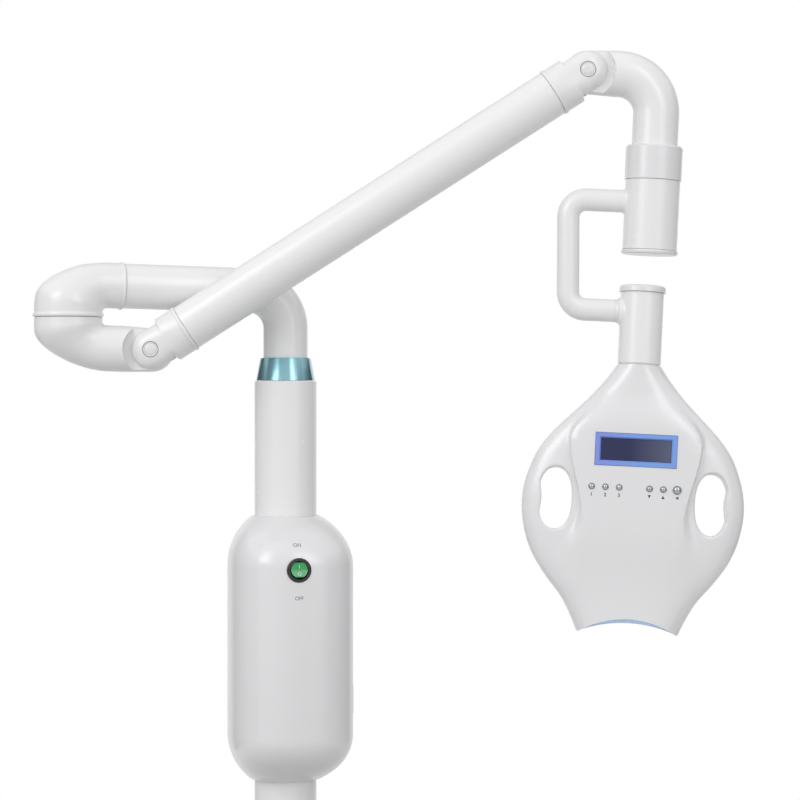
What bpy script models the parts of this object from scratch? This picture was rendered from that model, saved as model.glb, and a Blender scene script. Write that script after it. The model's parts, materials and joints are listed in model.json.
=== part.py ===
"""Teeth whitening lamp: a lamp head on a jointed arm, carried by a pole on a five-leg castered stand.

Metres, +Z up. The origin is where the pole's axis meets the floor, and the front faces -Y.
The pole carries a control box and, at its top, a swing arm. A folding elbow hangs from the swing
arm's end and carries the main arm, whose far hinge holds the gooseneck, the swivel, the handle
and the lamp head. Each moving group hangs from an empty that stands on its joint.
"""

from math import atan2, cos, hypot, pi, radians, sin, sqrt, tan

import bmesh
import bpy
from mathutils import Vector

# Clearances shared by every fit
GAP = 0.0003
CUT_OVERRUN = 0.004
MERGE_DISTANCE = 0.00001
SHARP_ANGLE = radians(35)

# Facets around round pieces
POLE_FACETS = 18
TUBE_FACETS = 14
SMALL_FACETS = 8
HANDLE_FACETS = 10
WHEEL_FACETS = 12
MOUTH_FACETS = 60
BEND_STEPS = 4
DOME_STEPS = 3
DOME_SWEEP = radians(80)
MIDDLE_SHARE = 0.5

# Star base and casters
LEG_COUNT = 5
LEG_REACH = 0.270
LEG_ROOT_WIDTH = 0.046
LEG_TIP_WIDTH = 0.032
LEG_ROOT_HEIGHT = 0.046
LEG_TIP_HEIGHT = 0.024
LEG_ROOT_RISE = 0.010
LEG_TAPER_POWER = 0.8
LEG_EDGE_RADIUS = 0.006
LEG_STATIONS = 3
LEG_START_SHARE = 0.5
LEG_TIP_RISE = 0.001
LEG_BOSS_RADIUS = 0.0178
LEG_BOSS_HEIGHT = 0.0265
HUB_RADIUS = 0.046
HUB_HEIGHT = 0.062
HUB_FLOOR = 0.008
HUB_EDGE = 0.004
WHEEL_RADIUS = 0.025
WHEEL_WIDTH = 0.015
WHEEL_EDGE = 0.004
AXLE_RADIUS = 0.004
FORK_THICKNESS = 0.010
FORK_HOOD_WIDTH = 0.042
FORK_HOOD_WALL = 0.0025
HOOD_FIRST = radians(0)
HOOD_LAST = radians(165)
HOOD_STEPS = 5
CASTER_TRAIL = 0.018
STEM_RADIUS = 0.0055
STEM_FLANGE_RADIUS = 0.011
STEM_FLANGE_HEIGHT = 0.004
STEM_LENGTH = 0.018
COLLAR_WALL = 0.008
COLLAR_HEIGHT = 0.018
COLLAR_EDGE = 0.004

# Pole and its top
POLE_RADIUS = 0.028
POLE_WALL = 0.003
POLE_TOP = 1.0684
POLE_EDGE = 0.001
TOP_RING_HEIGHT = 0.0203
TOP_RING_BOTTOM_RADIUS = 0.02695
TOP_RING_TOP_RADIUS = 0.0232
TOP_RING_EDGE = 0.0008
BUSH_LENGTH = 0.064
BUSH_LEDGE_HEIGHT = 0.005
BUSH_LEDGE_WIDTH = 0.0035

# Control box on the pole
BOX_TURN = radians(16)
BOX_BOTTOM = 0.7090
BOX_HEIGHT = 0.2375
BOX_END_HEIGHT = 0.0435
BOX_HALF_WIDTH = 0.0544
BOX_FRONT = 0.0755
BOX_REAR = 0.041
BOX_NECK_WALL = 0.0025
BOX_WALL = 0.0025
BOX_CORNER_POWER = 2.6
BOX_RING_POINTS = 24
BOX_END_RINGS = 4
CLAMP_HEIGHT = 0.030
CLAMP_WALL = 0.005
CLAMP_EAR_WIDTH = 0.024
CLAMP_CENTRE_SHARE = 0.5
SUPPLY_WIDTH = 0.056
SUPPLY_HEIGHT = 0.090
SUPPLY_DEPTH = 0.018
SUPPLY_ROOM = 0.006
SUPPLY_CENTRE_SHARE = 0.38
SUPPLY_EDGE = 0.002

# Rocker switch in the box's front
SWITCH_RISE = 0.1926
SWITCH_OFFSET = -0.0058
BEZEL_RADIUS = 0.01075
BEZEL_FLANGE = 0.0020
BEZEL_PROUD = 0.0009
BARREL_RADIUS = 0.0096
BARREL_LENGTH = 0.0150
ROCKER_WELL_RADIUS = 0.0082
ROCKER_RADIUS = 0.0074
ROCKER_PIVOT_DEPTH = 0.0036
ROCKER_SLOPE = radians(9)
ROCKER_PROUD = 0.0012
ROCKER_BACK = 0.0030
ROCKER_ARC_STEPS = 4

# Mains inlet in the box's side
INLET_RISE = 0.0730
INLET_SETBACK = 0.019
INLET_FLANGE_WIDTH = 0.030
INLET_FLANGE_HEIGHT = 0.025
INLET_FLANGE_DEPTH = 0.0025
INLET_BODY_WIDTH = 0.0270
INLET_BODY_HEIGHT = 0.0200
INLET_BODY_DEPTH = 0.0200
INLET_SOCKET_WIDTH = 0.0240
INLET_SOCKET_HEIGHT = 0.0165
INLET_SOCKET_DEPTH = 0.0170
INLET_CORNER = 0.003
INLET_PIN_WIDTH = 0.0040
INLET_PIN_THICKNESS = 0.0020
INLET_PIN_LENGTH = 0.0110
INLET_PIN_SPACING = 0.0070
INLET_PIN_RISE = 0.0020

# Arm tubes
TUBE_RADIUS = 0.0203
TUBE_WALL = 0.0028
TUBE_BEND = 0.0342
SWING_TURN = radians(197)
SWING_LENGTH = 0.198
SWING_CLEARANCE = 0.0849
SWING_RISE = radians(1.2)
MAIN_TUBE_RADIUS = 0.0210
MAIN_TUBE_WALL = 0.0025

# Folding elbow under the swing arm's end
SEAM_DROP = 0.0290
FLANGE_RADIUS = 0.0313
FLANGE_HEIGHT = 0.0032
ELBOW_BODY_RADIUS = 0.0300
ELBOW_CORNER_REACH = 0.0340
UPPER_ELBOW_RISE = 0.0040
LOWER_ELBOW_RISE = 0.0030
ELBOW_INNER_RADIUS = 0.0040
UPPER_ELBOW_POWER = 2.4
LOWER_ELBOW_POWER = 2.0
ELBOW_STEPS = 6
ELBOW_FACE_REACH = 0.0485
ELBOW_LIP_WIDTH = 0.0016
ELBOW_LIP_RISE = 0.0006
SPIGOT_LENGTH = 0.018
SPINDLE_RADIUS = 0.0140
SPINDLE_LENGTH = 0.040
SPINDLE_BORE = 0.0100
ELBOW_CABLE_RADIUS = 0.0090
LOWER_ARM_DROP = radians(2.3)

# Hinges at both ends of the main arm
HINGE_REACH = 0.07415
HINGE_DROP = 0.0288
MAIN_LENGTH = 0.4557
MAIN_RISE = radians(32.63)
TONGUE_THICKNESS = 0.0160
TONGUE_RADIUS = 0.0192
SHOULDER_RADIUS = 0.0245
SLOT_RADIUS = 0.0230
EAR_RADIUS = 0.0179
SLEEVE_START = 0.0357
SLEEVE_END = 0.0163
SLEEVE_LIP_WIDTH = 0.0016
SLEEVE_LIP_RISE = 0.0005
KNUCKLE_SPIGOT = 0.026
BOLT_RADIUS = 0.0040
BOLT_HEAD_RADIUS = 0.0068
CAP_RADIUS = 0.0068
CAP_THICKNESS = 0.0026
CAP_SINK = 0.0004
CAP_DOME = 0.0009
CAP_CROWN_SHARE = 0.8

# Gooseneck, swivel and drop tube
HANG_LEAN = radians(2.8)
GOOSE_DROP = 0.0010
GOOSE_REACH = 0.0630
GOOSE_BEND = 0.0340
SWIVEL_DROP = 0.0933
COLLAR_RADIUS = 0.02505
SWIVEL_COLLAR_HEIGHT = 0.0300
SWIVEL_COLLAR_SHOULDER = 0.0030
DROP_RADIUS = 0.0241
DROP_WALL = 0.0028
DROP_LENGTH = 0.0659
DROP_TOP_THICKNESS = 0.0040
DROP_RIM_HEIGHT = 0.0036
DROP_RIM_RISE = 0.0004
DROP_CAP_PLUG = 0.0050
SWIVEL_SHAFT_RADIUS = 0.0100
SWIVEL_FLANGE_RADIUS = 0.0160
SWIVEL_FLANGE_HEIGHT = 0.0040
SWIVEL_BORE_RADIUS = 0.0050

# Handle between the drop tube and the neck
HANDLE_RADIUS = 0.00995
HANDLE_WALL = 0.0020
HANDLE_BEND = 0.0155
HANDLE_TOP_DROP = 0.1130
HANDLE_TOP_REACH = 0.0736
HANDLE_LOW_REACH = 0.0693
HANDLE_HEIGHT = 0.0970
HANDLE_ENTRY = 0.0020

# Neck and its tilt pivot
NECK_OFFSET = 0.0043
HEAD_PITCH = radians(3)
HEAD_TURN = radians(-3)
NECK_RADIUS = 0.0190
NECK_WALL = 0.0028
NECK_TOP = 0.0168
NECK_BOTTOM = 0.0471
NECK_SPIGOT_LENGTH = 0.0130
NECK_SPIGOT_RADIUS = 0.0166
NECK_CAP_HEIGHT = 0.0072
NECK_CAP_RISE = 0.0016
NECK_CAP_DOME = 0.0020
NECK_CAP_PLUG = 0.0060
BOSS_RADIUS = 0.0120
BOSS_REACH = 0.0203
TILT_COLLAR_RADIUS = 0.0132
TILT_COLLAR_WIDTH = 0.0036
TILT_PIN_RADIUS = 0.0070
TILT_PIN_HEAD_RADIUS = 0.0105
TILT_PIN_HEAD_WIDTH = 0.0040
TILT_PIN_GRIP = 0.0240

# Lamp head
HEAD_LENGTH = 0.2354
HEAD_HALF_WIDTH = 0.0977
HEAD_FRONT_DEPTH = 0.0210
HEAD_REAR_DEPTH = 0.0200
HEAD_MOUTH_DEPTH = 0.0230
HEAD_EDGE_POWER = 3.0
ROUND_NECK_SHARE = 0.25
PANEL_RISE = 0.0050
HUMP_RISE = 0.0120
CREASE_WIDTH = 0.0050
HEAD_WALL = 0.0025
HEAD_RINGS = 13
CAVITY_RINGS = 6
WING_POINTS = 4
PANEL_POINTS = 1
MOUTH_RISE = 0.0125
MOUTH_HALF_WIDTH = 0.0425
HEAD_NECK_RADIUS = 0.0192
# Along the head from the neck to the mouth: the place, and the half width or crease there
HEAD_OUTLINE_SHARES = (
    (0.000, 0.197),
    (0.058, 0.295),
    (0.125, 0.430),
    (0.194, 0.594),
    (0.262, 0.753),
    (0.330, 0.872),
    (0.398, 0.942),
    (0.466, 0.987),
    (0.534, 1.000),
    (0.602, 0.982),
    (0.670, 0.938),
    (0.738, 0.861),
    (0.806, 0.746),
    (0.874, 0.612),
    (0.942, 0.518),
    (1.000, 0.455),
)
CREASE_SHARES = (
    (0.00, 0.120),
    (0.12, 0.300),
    (0.25, 0.570),
    (0.33, 0.585),
    (0.41, 0.545),
    (0.49, 0.495),
    (0.57, 0.475),
    (0.68, 0.520),
    (0.80, 0.480),
    (1.00, 0.300),
)
PANEL_SHARES = ((0.00, 0.0), (0.10, 0.0), (0.235, 1.0), (0.66, 1.0), (0.84, 0.0), (1.00, 0.0))
HUMP_SHARES = ((0.00, 0.0), (0.12, 0.0), (0.36, 1.0), (0.74, 1.0), (0.95, 0.1), (1.00, 0.1))
FULL_DEPTH_SHARES = (0.20, 0.75)

# Grip holes
GRIP_CENTRE_SHARE = 0.700
GRIP_PLACE_SHARE = 0.510
GRIP_HALF_WIDTH = 0.0148
GRIP_HALF_HEIGHT = 0.0270
GRIP_BUMP = 0.0028
GRIP_POWER = 2.3
GRIP_POINTS = 14

# Display, buttons and board
DISPLAY_DROP = 0.1231
DISPLAY_WIDTH = 0.0708
DISPLAY_HEIGHT = 0.0284
DISPLAY_PROUD = 0.0004
FRAME_BORDER_X = 0.0047
FRAME_BORDER_Z = 0.0045
FRAME_DEPTH = 0.0052
GLASS_SINK = 0.0010
PANEL_DEPTH = 0.0060
PANEL_MARGIN = 0.0020
BUTTON_DROP = 0.1562
BUTTON_FIRST = 0.01315
BUTTON_PITCH = 0.0120
BUTTON_RADIUS = 0.0026
START_BUTTON_RADIUS = 0.0036
BUTTON_PROUD = 0.0020
BUTTON_FLANGE_STEP = 0.0011
BUTTON_FLANGE_HEIGHT = 0.0010
BUTTON_STEM_SHARE = 0.55
BUTTON_TRAVEL = 0.0008
BUTTON_DOME_STEPS = 2
BOARD_WIDTH = 0.0920
BOARD_TOP = 0.0990
BOARD_HEIGHT = 0.0720
BOARD_THICKNESS = 0.0016
POST_RADIUS = 0.0030
POST_INSET = 0.0045

# Light engine at the mouth
LENS_RECESS = 0.0060
LENS_THICKNESS = 0.0025
LED_DROP = 0.2480
LED_WIDTH = 0.0660
LED_DEPTH = 0.0300
LED_THICKNESS = 0.0030
LED_COLUMNS = 5
LED_ROWS = 2
LED_INSET = 0.0028
LED_RISE = 0.0022
SINK_BASE = 0.0040
SINK_HEIGHT = 0.0220
FIN_COUNT = 9
FIN_SHARE = 0.42
FAN_SIZE = 0.0400
FAN_HEIGHT = 0.0100
FAN_BORE = 0.0186
FAN_BACK = 0.0015
FAN_BACK_HOLE = 0.0050
FAN_BACK_HOLE_COUNT = 4
FAN_BACK_RING_SHARE = 0.66
ROTOR_RADIUS = 0.0176
ROTOR_HUB = 0.0085
ROTOR_HEIGHT = 0.0070
ROTOR_BLADES = 7
BLADE_SHARE = 0.40
ROTOR_TWIST = radians(24)

# Vents in the rear shell
VENT_COUNT = 6
VENT_PITCH = 0.0080
VENT_LENGTH = 0.0480
VENT_WIDTH = 0.0030
VENT_DROP = 0.1900


def bore_for(radius, facets):
    """The radius of a faceted bore whose flats clear a round piece."""
    return (radius + GAP) / cos(pi / facets)


def head_place(drop):
    """The share along the head of a place that far below the tilt axis."""
    return (drop - NECK_BOTTOM - GAP) / HEAD_LENGTH


# Places that follow from the sizes above
FORK_HOOD_RADIUS = bore_for(WHEEL_RADIUS, WHEEL_FACETS) + FORK_HOOD_WALL
POLE_WAY = bore_for(POLE_RADIUS, POLE_FACETS)
SPINDLE_WAY = bore_for(SPINDLE_RADIUS, TUBE_FACETS)
BOLT_WAY = bore_for(BOLT_RADIUS, SMALL_FACETS)
SHAFT_WAY = bore_for(SWIVEL_SHAFT_RADIUS, POLE_FACETS)
AXLE_HEIGHT = WHEEL_RADIUS
FORK_TOP = AXLE_HEIGHT + FORK_HOOD_RADIUS
LEG_BOTTOM = FORK_TOP + STEM_FLANGE_HEIGHT + GAP
HUB_BOTTOM = LEG_BOTTOM
HUB_TOP = HUB_BOTTOM + HUB_HEIGHT
POLE_BOTTOM = HUB_BOTTOM + HUB_FLOOR + GAP
POLE_BORE = POLE_RADIUS - POLE_WALL
SWING_HEIGHT = POLE_TOP + SWING_CLEARANCE
BOX_TOP = BOX_BOTTOM + BOX_HEIGHT
SWITCH_HEIGHT = BOX_BOTTOM + SWITCH_RISE
INLET_HEIGHT = BOX_BOTTOM + INLET_RISE
BUSH_BOTTOM = POLE_TOP - BUSH_LENGTH
TUBE_BORE = TUBE_RADIUS - TUBE_WALL
BOX_NECK_RADIUS = POLE_RADIUS + GAP + BOX_NECK_WALL
ELBOW_FACE_GAP = ELBOW_FACE_REACH + GAP
HEAD_TOP = -NECK_BOTTOM - GAP
HEAD_BOTTOM = HEAD_TOP - HEAD_LENGTH
MOUTH_RADIUS = (MOUTH_HALF_WIDTH**2 + MOUTH_RISE**2) / (2 * MOUTH_RISE)
MOUTH_AXIS = HEAD_BOTTOM + MOUTH_RISE - MOUTH_RADIUS
CAVITY_FIRST_SHARE = head_place(NECK_BOTTOM + NECK_SPIGOT_LENGTH + NECK_WALL)
CAVITY_LAST_SHARE = 1.02
PANEL_FRONT = HEAD_FRONT_DEPTH + PANEL_RISE
FRONT_DEPTHS = (
    (0, HEAD_NECK_RADIUS),
    (FULL_DEPTH_SHARES[0], HEAD_FRONT_DEPTH),
    (FULL_DEPTH_SHARES[1], HEAD_FRONT_DEPTH),
    (1, HEAD_MOUTH_DEPTH),
)
REAR_DEPTHS = (
    (0, HEAD_NECK_RADIUS),
    (FULL_DEPTH_SHARES[0], HEAD_REAR_DEPTH),
    (FULL_DEPTH_SHARES[1], HEAD_REAR_DEPTH),
    (1, HEAD_MOUTH_DEPTH),
)
BOARD_FRONT = PANEL_FRONT - FRAME_DEPTH - PANEL_DEPTH - GAP - GAP


def clear_scene():
    for old in list(bpy.data.objects):
        bpy.data.objects.remove(old, do_unlink=True)


clear_scene()
lamp = bpy.data.collections.new("teeth_whitening_lamp")
cutters = bpy.data.collections.new("cutters")
for collection in (lamp, cutters):
    bpy.context.scene.collection.children.link(collection)


# Materials
def make_material(name, colour, roughness, metallic=0.0):
    material = bpy.data.materials.new(name)
    material.use_nodes = True
    shader = material.node_tree.nodes["Principled BSDF"]
    shader.inputs["Base Color"].default_value = (*colour, 1.0)
    shader.inputs["Roughness"].default_value = roughness
    shader.inputs["Metallic"].default_value = metallic
    material.diffuse_color = (*colour, 1.0)
    return material


WHITE = make_material("white_gloss_plastic", (0.80, 0.80, 0.81), 0.25)
LACQUER = make_material("white_lacquered_tube", (0.76, 0.76, 0.77), 0.30)
CREAM = make_material("white_lacquered_casting", (0.74, 0.74, 0.75), 0.32)
CHROME = make_material("chrome", (0.75, 0.75, 0.76), 0.12, 1.0)
TEAL = make_material("teal_anodised_metal", (0.06, 0.30, 0.36), 0.15, 1.0)
STEEL = make_material("steel", (0.50, 0.50, 0.52), 0.35, 1.0)
ALUMINIUM = make_material("aluminium", (0.70, 0.71, 0.72), 0.35, 1.0)
BLACK = make_material("black_plastic", (0.02, 0.02, 0.022), 0.40)
GREY_TYRE = make_material("grey_tyre", (0.16, 0.16, 0.17), 0.60)
GREEN = make_material("green_translucent_plastic", (0.03, 0.42, 0.12), 0.30)
NYLON = make_material("nylon_bush", (0.55, 0.55, 0.52), 0.50)
VIOLET = make_material("periwinkle_frame", (0.22, 0.27, 0.72), 0.30)
NAVY = make_material("navy_display", (0.02, 0.03, 0.10), 0.10)
BOARD_GREEN = make_material("circuit_board", (0.02, 0.16, 0.06), 0.50)
LED_WHITE = make_material("led_board", (0.55, 0.62, 0.85), 0.35)
CLEAR_BLUE = make_material("blue_lens", (0.35, 0.55, 0.95), 0.08)


# Building blocks
def frame(name, parent, at=(0, 0, 0), turn=(0, 0, 0)):
    empty = bpy.data.objects.new(name, None)
    lamp.objects.link(empty)
    empty.parent = parent
    empty.location = at
    empty.rotation_euler = turn
    return empty


def place(name, mesh, parent, at=(0, 0, 0), turn=(0, 0, 0), material=None):
    """A named object, in the lamp's collection with a material, or in the cutters' without."""
    made = bpy.data.objects.new(name, mesh)
    made.parent = parent
    made.location = at
    made.rotation_euler = turn
    if material:
        lamp.objects.link(made)
        made.data.materials.append(material)
    else:
        cutters.objects.link(made)
        made.hide_render = True
        made.display_type = "WIRE"
    return made


def mesh_of(name, shape):
    bmesh.ops.recalc_face_normals(shape, faces=shape.faces)
    mesh = bpy.data.meshes.new(name)
    shape.to_mesh(mesh)
    shape.free()
    return mesh


def turned(name, profile, facets, closed=False, **placing):
    """A profile of (radius, height) points, turned about Z. It runs down the outer side."""
    mesh = bpy.data.meshes.new(name)
    links = [(i, i + 1) for i in range(len(profile) - 1)]
    if closed:
        links.append((len(profile) - 1, 0))
    mesh.from_pydata([(r, 0, z) for r, z in profile], links, [])
    made = place(name, mesh, **placing)
    screw = made.modifiers.new("turn", "SCREW")
    screw.axis = "Z"
    screw.steps = screw.render_steps = facets
    screw.use_merge_vertices = True
    screw.merge_threshold = MERGE_DISTANCE
    return made


def hollow(name, outer, inner, low, high, facets, **placing):
    """A plain tube or ring along Z."""
    profile = [(outer, high), (outer, low), (inner, low), (inner, high)]
    return turned(name, profile, facets, closed=True, **placing)


def rod(name, radius, low, high, facets, **placing):
    return turned(name, [(0, high), (radius, high), (radius, low), (0, low)], facets, **placing)


def lofted(name, rings, **placing):
    """Rings of equal counts of points, joined and capped."""
    shape = bmesh.new()
    rows = [[shape.verts.new(point) for point in ring] for ring in rings]
    count = len(rows[0])
    for low, high in zip(rows, rows[1:]):
        for i in range(count):
            j = (i + 1) % count
            shape.faces.new((low[i], low[j], high[j], high[i]))
    bmesh.ops.triangulate(shape, faces=shape.faces)
    shape.faces.new(rows[0])
    shape.faces.new(rows[-1])
    return place(name, mesh_of(name, shape), **placing)


def extruded(name, outline, low, high, **placing):
    """An outline of (x, z) points, drawn out along Y."""
    rings = [[(x, y, z) for x, z in outline] for y in (low, high)]
    return lofted(name, rings, **placing)


def block(name, low, high, edge=0.0, **placing):
    """A box between two corners, with rounded edges where edge is given."""
    shape = bmesh.new()
    bmesh.ops.create_cube(shape, size=1)
    for vertex in shape.verts:
        vertex.co = [b if c > 0 else a for c, a, b in zip(vertex.co, low, high)]
    made = place(name, mesh_of(name, shape), **placing)
    if edge:
        bevel = made.modifiers.new("edges", "BEVEL")
        bevel.width = edge
        bevel.segments = 2
    return made


def cut(target, *tools, operation="DIFFERENCE"):
    for tool in tools:
        boolean = target.modifiers.new(tool.name, "BOOLEAN")
        boolean.operation = operation
        boolean.solver = "EXACT"
        boolean.object = tool


ALONG_X = (0, radians(90), 0)
ALONG_Y = (radians(-90), 0, 0)


# Pipes: stations of (x, z, heading, radius) in the X-Z plane
def pipe_stations(corners, bend, radius, steps=BEND_STEPS):
    """Stations along a line through the corners, rounded at each inner one."""
    stations = []
    legs = [(b[0] - a[0], b[1] - a[1]) for a, b in zip(corners, corners[1:])]
    headings = [atan2(z, x) for x, z in legs]
    stations.append((*corners[0], headings[0], radius))
    for corner, before, after in zip(corners[1:], headings, headings[1:]):
        turn = (after - before + pi) % (2 * pi) - pi
        back = bend * tan(abs(turn) / 2)
        side = 1 if turn > 0 else -1
        x = corner[0] - back * cos(before) - side * bend * sin(before)
        z = corner[1] - back * sin(before) + side * bend * cos(before)
        for i in range(steps + 1):
            heading = before + turn * i / steps
            there = (x + side * bend * sin(heading), z - side * bend * cos(heading))
            stations.append((*there, heading, radius))
    stations.append((*corners[-1], headings[-1], radius))
    return stations


def straight_stations(start, heading, steps):
    """Stations from a start point: steps are (distance, radius) pairs."""
    x, z = start
    return [(x + d * cos(heading), z + d * sin(heading), heading, r) for d, r in steps]


def dome_steps(distance, radius, steps=DOME_STEPS):
    """A round end whose centre is at the distance."""
    angles = [DOME_SWEEP * i / steps for i in range(1, steps + 1)]
    return [(distance + radius * sin(a), radius * cos(a)) for a in angles]


def pipe(name, stations, facets=TUBE_FACETS, **placing):
    rings = []
    for x, z, heading, radius in stations:
        across = Vector((-sin(heading), 0, cos(heading))) * radius
        side = Vector((0, radius, 0))
        turns = [2 * pi * i / facets for i in range(facets)]
        rings.append([Vector((x, 0, z)) + across * cos(a) + side * sin(a) for a in turns])
    return lofted(name, rings, **placing)


# Curves through tables of shares
def through(table, place_share):
    """A smooth curve through a table of (place, value) pairs."""
    last = len(table) - 1
    k = next((i for i in range(last) if place_share <= table[i + 1][0]), last - 1)
    (p0, v0), (p1, v1) = table[k], table[k + 1]
    slopes = []
    for i in (k, k + 1):
        a, b = table[max(i - 1, 0)], table[min(i + 1, last)]
        slopes.append((b[1] - a[1]) / (b[0] - a[0]) * (p1 - p0))
    t = (place_share - p0) / (p1 - p0)
    stay = v0 * (1 + 2 * t) * (1 - t) ** 2 + v1 * t * t * (3 - 2 * t)
    return stay + slopes[0] * t * (1 - t) ** 2 - slopes[1] * t * t * (1 - t)


def eased(table, place_share):
    """A curve through a table that rests flat at each of its points."""
    last = len(table) - 1
    k = next((i for i in range(last) if place_share <= table[i + 1][0]), last - 1)
    (p0, v0), (p1, v1) = table[k], table[k + 1]
    t = (place_share - p0) / (p1 - p0)
    return v0 + (v1 - v0) * t * t * (3 - 2 * t)


def mixed(a, b, share):
    return a + (b - a) * share


# Star base
def leg_ring(share):
    """A rounded leg section, square to the leg's own X axis."""
    x = mixed(HUB_RADIUS * LEG_START_SHARE, LEG_REACH, share)
    half = mixed(LEG_ROOT_WIDTH, LEG_TIP_WIDTH, share) / 2
    tall = mixed(LEG_ROOT_HEIGHT, LEG_TIP_HEIGHT, share**LEG_TAPER_POWER)
    low = LEG_BOTTOM + LEG_TIP_RISE + LEG_ROOT_RISE * (1 - share) ** 2
    edge = LEG_EDGE_RADIUS
    ring = []
    for y, first_angle in ((half - edge, 0), (-half + edge, pi / 2)):
        for i in range(2):
            angle = first_angle + pi / 2 * i
            ring.append((x, y + edge * cos(angle), low + tall - edge + edge * sin(angle)))
    ring += [(x, -half, low), (x, half, low)]
    return ring


def build_base():
    profile = [
        (0, HUB_TOP),
        (HUB_RADIUS - HUB_EDGE, HUB_TOP),
        (HUB_RADIUS, HUB_TOP - HUB_EDGE),
        (HUB_RADIUS, HUB_BOTTOM + HUB_EDGE),
        (HUB_RADIUS - HUB_EDGE, HUB_BOTTOM),
        (0, HUB_BOTTOM),
    ]
    base = turned("star_base", profile, POLE_FACETS, parent=None, material=CREAM)
    well = rod(
        "pole_well", POLE_WAY, HUB_BOTTOM + HUB_FLOOR, HUB_TOP + CUT_OVERRUN,
        POLE_FACETS, parent=None,
    )
    holes = []
    for i in range(LEG_COUNT):
        angle = 2 * pi * i / LEG_COUNT
        tip_at = (LEG_REACH * cos(angle), LEG_REACH * sin(angle), 0)
        rings = [leg_ring(k / (LEG_STATIONS - 1)) for k in range(LEG_STATIONS)]
        leg = lofted(f"leg_{i + 1}", rings, parent=None, turn=(0, 0, angle))
        boss = rod(
            f"leg_boss_{i + 1}", LEG_BOSS_RADIUS, LEG_BOTTOM, LEG_BOTTOM + LEG_BOSS_HEIGHT,
            SMALL_FACETS, parent=None, at=tip_at, turn=(0, 0, angle),
        )
        socket = rod(
            f"stem_socket_{i + 1}", bore_for(STEM_RADIUS, SMALL_FACETS), LEG_BOTTOM - CUT_OVERRUN,
            LEG_BOTTOM + STEM_LENGTH + GAP, SMALL_FACETS, parent=None, at=tip_at,
        )
        cut(base, leg, boss, operation="UNION")
        holes.append(socket)
    cut(well, *holes, operation="UNION")
    cut(base, well)


def build_casters():
    for i in range(LEG_COUNT):
        number = i + 1
        angle = 2 * pi * i / LEG_COUNT
        at = (LEG_REACH * cos(angle), LEG_REACH * sin(angle), 0)
        swivel = frame(f"caster_swivel_{number}", None, at, (0, 0, angle))
        build_fork(number, swivel)
        build_wheel(number, swivel)


def arc_points(radius, first, last, steps):
    angles = [mixed(first, last, i / steps) for i in range(steps + 1)]
    return [(radius * cos(a), radius * sin(a)) for a in angles]


def build_fork(number, swivel):
    """A hood over the twin wheel, a web down between them to the axle, and the stem."""
    axle_at = (-CASTER_TRAIL, 0, AXLE_HEIGHT)
    inner = FORK_HOOD_RADIUS - FORK_HOOD_WALL
    outside = arc_points(FORK_HOOD_RADIUS, HOOD_FIRST, HOOD_LAST, HOOD_STEPS)
    inside = arc_points(inner, HOOD_LAST, HOOD_FIRST, HOOD_STEPS)
    half = FORK_HOOD_WIDTH / 2
    fork = extruded(
        f"caster_fork_{number}", outside + inside, -half, half, parent=swivel, at=axle_at,
        material=BLACK,
    )
    middle = inner + FORK_HOOD_WALL / 2
    web_outline = arc_points(middle, HOOD_FIRST, HOOD_LAST, HOOD_STEPS)
    web_outline += arc_points(AXLE_RADIUS * 2, pi, 2 * pi, 2)
    half = FORK_THICKNESS / 2
    web = extruded(f"fork_web_{number}", web_outline, -half, half, parent=swivel, at=axle_at)
    profile = [
        (0, LEG_BOTTOM + STEM_LENGTH),
        (STEM_RADIUS, LEG_BOTTOM + STEM_LENGTH),
        (STEM_RADIUS, LEG_BOTTOM - GAP),
        (STEM_FLANGE_RADIUS, LEG_BOTTOM - GAP),
        (STEM_FLANGE_RADIUS, AXLE_HEIGHT + inner + GAP),
        (0, AXLE_HEIGHT + inner + GAP),
    ]
    stem = turned(f"fork_stem_{number}", profile, SMALL_FACETS, parent=swivel)
    clear = rod(
        f"fork_clear_{number}", inner, half, FORK_HOOD_WIDTH, WHEEL_FACETS, parent=swivel,
        at=axle_at, turn=ALONG_Y,
    )
    clear_back = rod(
        f"fork_clear_back_{number}", inner, -FORK_HOOD_WIDTH, -half, WHEEL_FACETS,
        parent=swivel, at=axle_at, turn=ALONG_Y,
    )
    bore = rod(
        f"fork_bore_{number}", bore_for(AXLE_RADIUS, SMALL_FACETS), -FORK_THICKNESS,
        FORK_THICKNESS, SMALL_FACETS, parent=swivel, at=axle_at, turn=ALONG_Y,
    )
    cut(fork, web, stem, operation="UNION")
    cut(fork, clear, clear_back, bore)


def build_wheel(number, swivel):
    """Two wheels on one axle, turned about Y."""
    inside = FORK_THICKNESS / 2 + GAP
    outside = inside + WHEEL_WIDTH
    half_profile = [
        (0, outside),
        (WHEEL_RADIUS - WHEEL_EDGE, outside),
        (WHEEL_RADIUS, outside - WHEEL_EDGE),
        (WHEEL_RADIUS, inside),
        (AXLE_RADIUS, inside),
    ]
    profile = half_profile + [(r, -y) for r, y in reversed(half_profile)]
    turned(
        f"caster_wheel_{number}", profile, WHEEL_FACETS, parent=swivel,
        at=(-CASTER_TRAIL, 0, AXLE_HEIGHT), turn=ALONG_Y, material=GREY_TYRE,
    )


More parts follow.
